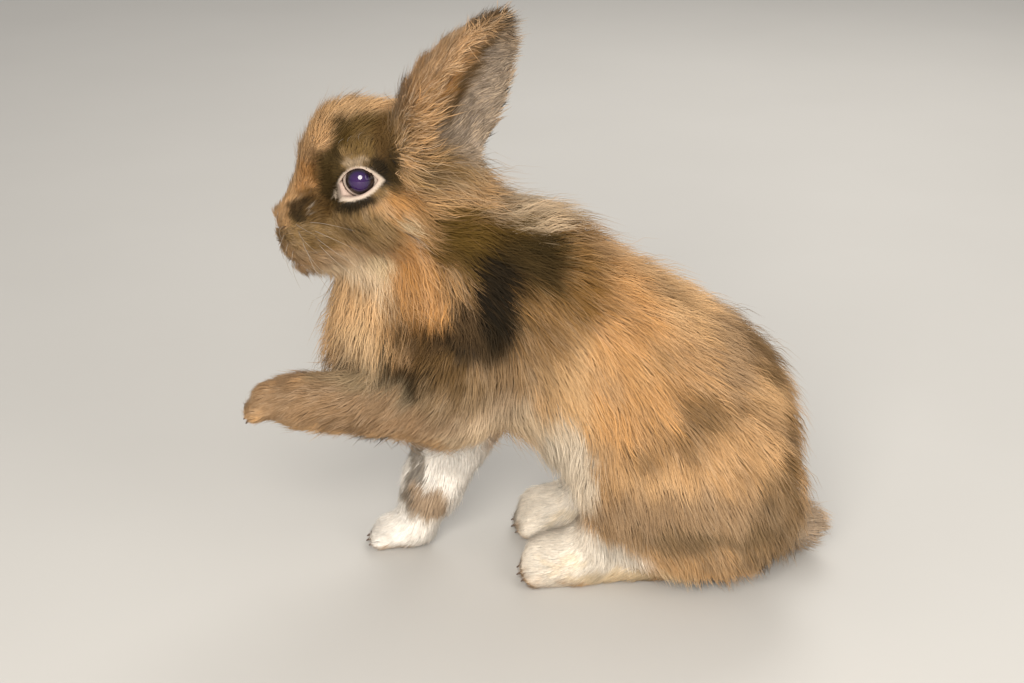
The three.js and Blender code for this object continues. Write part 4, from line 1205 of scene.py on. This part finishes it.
def coat_of(P, size=60000):
    parts = [coat_at(P[:, i:i + size]) for i in range(0, P.shape[1], size)]
    return {key: np.concatenate([part[key] for part in parts], -1) for key in parts[0]}


# Roots of the tufts, spread evenly by the density wanted

BUDGET = 1.46e6  # triangles in the whole coat
SHORT_HAIR = 20.0  # a shorter tuft has two segments, a longer one three
TRIANGLES = {2: 6, 3: 12}  # of a tuft with so many segments
rng = np.random.default_rng(11)


def vertex_normals(P, T):
    """Unit normals of the vertices, and normals of the triangles, twice their area long."""
    n = cross(P[:, T[:, 1]] - P[:, T[:, 0]], P[:, T[:, 2]] - P[:, T[:, 0]])
    out = np.zeros_like(P)
    for c in range(3):
        for m in range(3):
            out[m] += np.bincount(T[:, c], n[m], P.shape[1])
    return unit(out), n


triangles = np.concatenate([skin_quads[:, [0, 1, 2]], skin_quads[:, [0, 2, 3]]])
normals, face_normals = vertex_normals(skin_points, triangles)
areas = np.sqrt((face_normals ** 2).sum(0)) / 2
middles = skin_points[:, triangles].mean(2)
ground = coat_of(middles)
tips = skin_points + normals * coat_of(skin_points)["depth"]
paint(skin_piece, "skin_colour", skin_colours(skin_points, tips))
wanted = ground["density"] * hair_left(middles) * areas
cost = np.where(ground["hair"] < SHORT_HAIR, TRIANGLES[2], TRIANGLES[3])
count = int(wanted.sum() * (BUDGET / float((wanted * cost).sum())))
order = np.argsort(triangles[:, 0], kind="stable")
heap = np.cumsum(wanted[order].astype(float))
picks = (np.arange(count) + rng.uniform(0, 1, count)) / count * heap[-1]
chosen = order[np.searchsorted(heap, picks).clip(0, len(order) - 1)]
u, v = rng.uniform(0, 1, (2, count)).astype(F)
flip = u + v > 1
u, v = np.where(flip, 1 - u, u), np.where(flip, 1 - v, v)
corner = triangles[chosen]


def over_triangles(values):
    return values[:, corner[:, 0]] * (1 - u - v) + values[:, corner[:, 1]] * u + values[:, corner[:, 2]] * v


roots = over_triangles(skin_points)
root_normals = unit(over_triangles(normals))
coat = coat_of(roots)


# Growth: guard hairs are longer, strays are thin and stand out of the coat

SWIRL = Waves(21, 34, 8, 3)
SWIRL_FINE = Waves(22, 11, 8, 3)
LENGTHS = Waves(23, 16, 8)
GUARDS = 0.08  # share of the tufts
GUARD_LENGTH = 1.22
STRAY_WIDTH = 0.6
STRAY_SLANT = 1.7
RAGGED_CLUMP = 0.22  # coats that gather more than this have more strays and pale tips
BENDS = (1.5, 0.95, 0.45)  # slant of each third of a hair, of its own
LEANS = ((1, 0.25), (2, 0.65), (3, 1.0))  # of each point of a hair to its leader's
SMALL_LOCKS, LARGE_LOCKS = 0.09, 0.014  # share of leaders among the tufts
LINE_LOWEST = 0.25  # height of the lowest centre line
long_coat = smoothstep(6, 20, coat["hair"])
clump = coat["clump"]
raggedness = np.clip(clump - RAGGED_CLUMP, 0, 0.2)
guard = rng.uniform(0, 1, count) < GUARDS
stray = rng.uniform(0, 1, count) < 0.02 + 0.05 * clump + 0.4 * raggedness
lie = coat["lie"] + (0.07 + 0.30 * clump) * SWIRL(roots) + (0.05 + 0.12 * clump) * SWIRL_FINE(roots)
lie = lie + (0.06 + 0.20 * clump) * rng.normal(0, 1, (3, count)).astype(F)
hair = coat["hair"] * (1 + 0.08 * LENGTHS(roots)[0]) * rng.uniform(0.72, 1.15, count)
hair = np.where(guard, hair * GUARD_LENGTH, hair).astype(F)
width = coat["width"] * np.where(stray, STRAY_WIDTH, 1.0) * np.where(guard, 0.85, 1.0)
slant = np.arcsin(np.clip(coat["depth"] / np.maximum(coat["hair"], 1), 0.08, 0.75))
slant = slant * coat["lift"] * rng.uniform(0.75, 1.25, count)
slant = np.where(guard, slant * 1.1, slant)
slant = np.where(stray, slant * STRAY_SLANT, slant).clip(0, 1.25).astype(F)
segments = np.where(hair < SHORT_HAIR, 2, 3)


def tangent(direction, N):
    return unit(direction - N * (direction * N).sum(0))


def grow(P, first):
    """The centre line of each tuft, steeper at its root and flatter towards its tip, and its last normal."""
    points = [P]
    N, T = first, tangent(lie, first)
    for k, bend in enumerate(BENDS):
        P = P + (T * np.cos(slant * bend) + N * np.sin(slant * bend)) * (hair / 3)
        points.append(P)
        if k < 2:
            _, slope = steepest(outline, P, 0.3)
            N = unit(unit(slope) * (1 - coat["ear"]) + first * coat["ear"])
            T = tangent(T, N)
    return np.stack(points), N


def gather(line, share, amount):
    """Locks: each tuft leans to the nearest leader's line."""
    leaders = np.nonzero(rng.uniform(0, 1, count) < share)[0]
    tree = KDTree(len(leaders))
    for i, n in enumerate(leaders):
        tree.insert(roots[:, n], i)
    tree.balance()
    leader = leaders[np.array([tree.find(p)[1] for p in roots.T.tolist()])]
    same = (root_normals * root_normals[:, leader]).sum(0) > 0.4
    lean = np.where(same & ~stray, amount, 0) * rng.uniform(0.3, 1.0, count)
    length = np.clip(hair / np.maximum(hair[leader], 1), 0.5, 1.4)
    out = line.copy()
    for k, part in LEANS:
        target = roots[:, leader] + (line[k][:, leader] - roots[:, leader]) * length
        out[k] = line[k] + (target - line[k]) * (lean * part)
    return out, leader


line, shade_normals = grow(roots, root_normals)
shade_normals = unit(shade_normals + 1.1 * coat["rim"])
line, lock = gather(line, SMALL_LOCKS, 0.06 + 0.9 * clump)
line, _ = gather(line, LARGE_LOCKS, np.clip(clump * 1.6 - 0.2, 0, 1))
# A slight wave, and the fall of the long hair
sideways = unit(cross(line[3] - line[0], root_normals))
phase = rng.uniform(0, 2 * math.pi, count)
for k in (1, 2, 3):
    wave = np.sin(phase + 2.1 * k) * hair * (0.010 + 0.03 * clump) * k
    line[k] = line[k] + sideways * wave
    line[k][2] -= 0.018 * hair * long_coat * k * k / 3
line[:, 2] = np.maximum(line[:, 2], LINE_LOWEST)


# Colours along each tuft: dull at the root, full in the middle, its tip paler or darker

lock_tone, lock_hue = rng.normal(size=(2, count))[:, lock]
own_hue = rng.normal(size=count)
tone_range = 0.06 + 0.16 * coat["ear"]
tone = (1 + tone_range * rng.normal(size=count) + (0.02 + 0.16 * clump) * lock_tone).clip(0.55, 1.5)
hue = np.where(coat["ear"] > 0.5, 0.6 * lock_hue + 0.6 * own_hue, lock_hue)
mess = np.clip(np.maximum(clump - 0.1, 0.45 * coat["ear"]), 0.14, 0.45)


def tuft_colours(P):
    base = markings(P.astype(F))
    light = base.mean(0)
    mixed = mess * smoothstep(0.03, 0.16, light)
    base = patch(base, BEIGE_GREY, np.clip(hue, 0, 1.5) * mixed)
    base = patch(base, MID_BROWN, np.clip(hue, 0, 1.5) * 0.04 * (1 - smoothstep(0.02, 0.08, light)))
    return patch(base, BROWN, np.clip(-hue, 0, 1.2) * mixed * 0.8)


middle = tuft_colours(line[1] * 0.35 + line[2] * 0.65)
tip = tuft_colours(line[3] * 0.75 + line[2] * 0.25)
tip_light = tip.mean(0)
dark_tip = (rng.uniform(0, 1, count) < 0.06) & (tip_light < 0.36)
pale = (0.20 + 0.5 * raggedness) * smoothstep(0.05, 0.25, tip_light)
tip = np.where(dark_tip, tip * 0.6, patch(tip * 0.98, PALE_BEIGE, pale))
root = middle * 0.86 + middle.mean(0) * 0.10
colour_of = [root * tone, (middle * 0.85 + root * 0.15) * tone, middle * tone, tip * tone]


# Coat pieces

PATCH = 0.0028  # size of a tuft's patch on the map
MARGIN = 0.006  # between the map's charts
ROWS = {2: (0, 2, 3), 3: (0, 1, 2, 3)}  # of the centre line's points, by segments
TAPER = {2: (1.0,), 3: (1.0, 0.85)}  # width of the inner rows, by segments
TRIANGLE = ((-0.5, -0.14), (0.5, -0.14), (0.0, 0.28))  # a tuft's section, across and up
TUFT_LOWEST = 0.1  # height of the lowest point of a tuft
LARGEST_PIECE = 190000  # triangles; a larger one is parted into left and right
PIECES = {
    "face": ("nose", "bridge", "pad", "chin"),
    "head": ("forehead", "skull", "jaw", "cheek"),
    "ear_left": ("ear_left",),
    "ear_right": ("ear_right",),
    "mane": ("neck", "mane", "withers", "throat"),
    "chest": ("chest",),
    "back": ("ribs",),
    "loin": ("loin", "belly"),
    "rump": ("seat", "tail"),
    "thigh": ("thigh",),
    "near_foreleg": ("upper_arm", "forearm"),
    "feet": ("hock", "foot", "toe", "paw", "shank"),
}


def shelves(charts, scale):
    """Places of the charts' corners on shelves at a scale, and the height that they take."""
    x, y, row, places = MARGIN, MARGIN, 0, []
    for _, _, size in charts:
        w, h = size * scale
        if x + w > 1 - MARGIN:
            x, y, row = MARGIN, y + row + MARGIN, 0
        if x + w > 1 - MARGIN:
            return None, 2
        places.append((x, y))
        x += w + MARGIN
        row = max(row, h)
    return places, y + row


def unwrap(own):
    """The skin under one coat piece in charts by the way it faces, laid side by side on the map."""
    N, P = root_normals[:, own], roots[:, own]
    axis = np.abs(N).argmax(0)
    facing = np.take_along_axis(N, axis[None], 0)[0] > 0
    key = axis * 4 + facing * 2 + (P[1] > 0)
    charts = []
    for k in np.unique(key):
        ids = np.nonzero(key == k)[0]
        flat = np.delete(P[:, ids], k // 4, 0)
        flat = flat - flat.min(1, keepdims=True)
        size = flat.max(1) + 0.5
        if size[1] > size[0]:
            flat, size = flat[::-1], size[::-1]
        charts.append((ids, flat, size))
    charts.sort(key=lambda chart: -chart[2][1])
    low, high = 0.0, 1.0
    for _ in range(30):
        scale = (low + high) / 2
        if shelves(charts, scale)[1] < 1 - MARGIN:
            low = scale
        else:
            high = scale
    places, _ = shelves(charts, low)
    out = np.zeros((2, len(own)), F)
    for (ids, flat, _), place in zip(charts, places):
        out[:, ids] = flat * low + np.reshape(place, (2, 1))
    return out


def tuft_block(ids, steps, root_uv):
    """Points, colours, normals, map places and faces of closed three-sided tufts of so many segments."""
    rows = ROWS[steps]
    spine = np.stack([line[k][:, ids] for k in rows])
    if steps == 2:
        spine[1] = (line[1][:, ids] + line[2][:, ids]) / 2
    N, soft = root_normals[:, ids], shade_normals[:, ids]
    size = width[ids] * rng.uniform(0.75, 1.2, len(ids))
    per = (steps - 1) * 3 + 2
    P, C, M = np.empty((3, per, 3, len(ids)), F)
    P[0], P[-1] = spine[0], spine[-1]
    C[0], C[-1] = colour_of[0][:, ids], colour_of[3][:, ids]
    for k in range(1, steps):
        ahead = spine[k + 1] - spine[k - 1]
        side = unit(cross(ahead, N))
        up = unit(cross(side, ahead))
        for c, (a, b) in enumerate(TRIANGLE, k * 3 - 2):
            P[c] = spine[k] + (side * a + up * b) * (size * TAPER[steps][k - 1])
            C[c] = colour_of[rows[k]][:, ids]
            M[c] = unit(0.72 * soft + 0.28 * up + 0.45 * side * a)
    M[0] = M[-1] = unit(0.72 * soft + 0.28 * up)
    P[:, 2] = np.maximum(P[:, 2], TUFT_LOWEST)
    rings = np.repeat(np.arange(1, steps) / steps, 3) + np.tile([0, 0, 0.15], steps - 1)
    along = np.concatenate([[0.0], rings, [1.0]]) - 0.5
    aside = np.concatenate([[0.0], np.tile([-0.5, 0.5, 0.0], steps - 1), [0.0]])
    places = [(at[:, None] + shift[None] * PATCH).ravel() for at, shift in zip(root_uv, (aside, along))]
    faces = (np.arange(len(ids)) * per)[:, None, None] + spindle_faces(steps - 1, 3)[None]
    flat = [values.transpose(1, 2, 0).reshape(3, -1) for values in (P, C, M)]
    return (*flat, np.stack(places), faces.reshape(-1, 3))


def coat_piece(name, own):
    """One coat piece: the tufts over the chosen roots."""
    root_uv = unwrap(own)
    blocks = []
    for steps in (2, 3):
        which = np.nonzero(segments[own] == steps)[0]
        if len(which):
            blocks.append(tuft_block(own[which], steps, root_uv[:, which]))
    starts = np.cumsum([0] + [block[0].shape[1] for block in blocks])
    points, shades, norms, places = (np.concatenate([block[n] for block in blocks], 1) for n in range(4))
    faces = np.concatenate([block[4] + start for block, start in zip(blocks, starts)])
    thing = mesh_object("coat_" + name, points, faces, COAT)
    paint(thing, "coat_colour", shades)
    lay_map(thing, places.T, faces)
    thing.data.normals_split_custom_set_from_vertices(norms.T.astype(F).tolist())


def coat_pieces():
    belongs = np.array(LABELS)[coat["label"]]
    for name, coats in PIECES.items():
        own = np.nonzero(np.isin(belongs, coats))[0]
        cost = np.where(segments[own] == 2, TRIANGLES[2], TRIANGLES[3]).sum()
        if cost > LARGEST_PIECE:
            near = roots[1, own] < 0
            coat_piece(name + "_left", own[near])
            coat_piece(name + "_right", own[~near])
        else:
            coat_piece(name, own)


coat_pieces()


# Whiskers

WHISKER_SIDES, WHISKER_STEPS = 4, 7
WHISKER_RADIUS = 0.13
WHISKER_COLOUR = (0.34, 0.28, 0.22)
MAP_ROW = 6  # whiskers in a row of the map


def whisker_lines():
    """Root, direction and length of each whisker, in the head's frame: four rows, and three over the eye."""
    out = []
    for side in (LEFT, RIGHT):
        for row in range(4):
            for place in range(3):
                root = (33.5 - 4.2 * place - 0.6 * row, -side * (9 + 1.6 * place), -14.5 - 2.6 * row)
                way = (0.35 - 0.42 * place, -side * 1.0, 0.10 - 0.24 * row)
                out.append((root, way, 24 + 4 * place + rng.uniform(-3, 4)))
        for place in range(3):
            root = (-2 + 5 * place, -side * 17, 12.5 + 0.8 * place)
            out.append((root, (0.15 - 0.1 * place, -side * 0.8, 0.75), 13 + rng.uniform(-2, 3)))
    return out


def whisker_points(root, way, length):
    """Rings of a bent whisker from the skin to its tip."""
    P = out_of_head(column(root))
    for _ in range(12):
        d, slope = steepest(skin, P, 0.1)
        P = P - slope * d * 0.8
    way = HEAD @ unit(column(way))
    a = unit(np.cross(way[:, 0], (0, 0, 1)).reshape(3, 1))
    b = unit(np.cross(way[:, 0], a[:, 0]).reshape(3, 1))
    angle = circle(WHISKER_SIDES)
    rings = []
    for k in range(WHISKER_STEPS + 1):
        t = k / WHISKER_STEPS
        bend = HEAD @ column((-0.30, 0, -0.22)) * (length * t * t)
        middle = P + way * length * t * (1 - 0.12 * t) + bend
        r = WHISKER_RADIUS * (1 - 0.75 * k / WHISKER_STEPS)
        rings.append(middle + (a * np.cos(angle) + b * np.sin(angle)) * r if t < 1 else middle)
    return np.concatenate(rings, 1)


def whisker_faces():
    last = (WHISKER_STEPS - 1) * WHISKER_SIDES
    faces = tube_faces(WHISKER_STEPS - 1, WHISKER_SIDES)
    for c in range(WHISKER_SIDES):
        faces.append((last + (c + 1) % WHISKER_SIDES, last + c, last + WHISKER_SIDES))
    return np.array(faces + [(0, 1, 2), (0, 2, 3)])


def whisker_map(n):
    """A whisker's patch on the map: rings up from its root."""
    x, y = (n % MAP_ROW + 0.5) / MAP_ROW, (n // MAP_ROW + 0.5) / MAP_ROW
    rings = [
        (x + c * PATCH / WHISKER_SIDES, y + k * PATCH / WHISKER_STEPS)
        for k in range(WHISKER_STEPS) for c in range(WHISKER_SIDES)
    ]
    return rings + [(x + PATCH / 2, y + PATCH)]


def whiskers():
    points = [whisker_points(*numbers) for numbers in whisker_lines()]
    each = points[0].shape[1]
    faces = np.concatenate([whisker_faces() + n * each for n in range(len(points))])
    places = np.array([place for n in range(len(points)) for place in whisker_map(n)])
    thing = mesh_object("whiskers", np.concatenate(points, 1).astype(F), faces, COAT)
    paint(thing, "coat_colour", all_over(WHISKER_COLOUR, len(places)))
    lay_map(thing, places, faces)


whiskers()


# Camera, floor and light

PHOTO_WIDTH = 1024  # pixels
FOCAL_LENGTH = 1815  # pixels
SENSOR = 36  # width, millimetres
CAMERA_PITCH = 21.8  # degrees down
CAMERA_AT = (0, -708, 383)  # in the anatomy's frame
FLOOR = [(-4, -4, 0), (4, -4, 0), (4, 6, 0), (-4, 6, 0)]  # corners, metres
LAMP_AIM = (0, 0, 0.1)
# Name, place and size in metres, power in watts, colour
LAMPS = [
    ("key", (-0.16, -1.0, 0.62), 0.60, 15.5, (1.0, 0.955, 0.885)),
    ("fill", (0.9, -0.7, 0.6), 0.9, 6, (1.0, 0.97, 0.92)),
    ("rim", (0.3, 0.9, 0.9), 0.7, 6, (1.0, 0.97, 0.92)),
]
scene = bpy.context.scene
camera_data = bpy.data.cameras.new("camera")
camera_data.sensor_width = SENSOR
camera_data.sensor_fit = "HORIZONTAL"
camera_data.lens = SENSOR * FOCAL_LENGTH / PHOTO_WIDTH
camera_data.clip_start = 0.01
camera = bpy.data.objects.new("camera", camera_data)
camera.location = to_model(column(CAMERA_AT))[0]
camera.rotation_euler = (math.radians(90 - CAMERA_PITCH), 0, 0)
scene.collection.objects.link(camera)
scene.camera = camera

floor_mesh = bpy.data.meshes.new("floor")
floor_mesh.from_pydata(FLOOR, [], [(0, 1, 2, 3)])
floor = bpy.data.objects.new("floor", floor_mesh)
floor.data.materials.append(floor_material())
scene.collection.objects.link(floor)


def area_light(name, place, size, power, colour):
    data = bpy.data.lights.new(name, "AREA")
    data.shape = "DISK"
    data.size = size
    data.energy = power
    data.color = colour
    lamp = bpy.data.objects.new(name, data)
    x, y, z = np.subtract(place, LAMP_AIM)
    lamp.location = place
    lamp.rotation_euler = (math.atan2(math.hypot(x, y), z), 0, math.atan2(y, x) + math.pi / 2)
    scene.collection.objects.link(lamp)


for numbers in LAMPS:
    area_light(*numbers)
world = bpy.data.worlds.new("world")
world.use_nodes = True
settle(world.node_tree.nodes["Background"].inputs, {"Color": (0.97, 0.945, 0.91, 1), "Strength": 0.55})
scene.world = world
scene.view_settings.view_transform = "Standard"
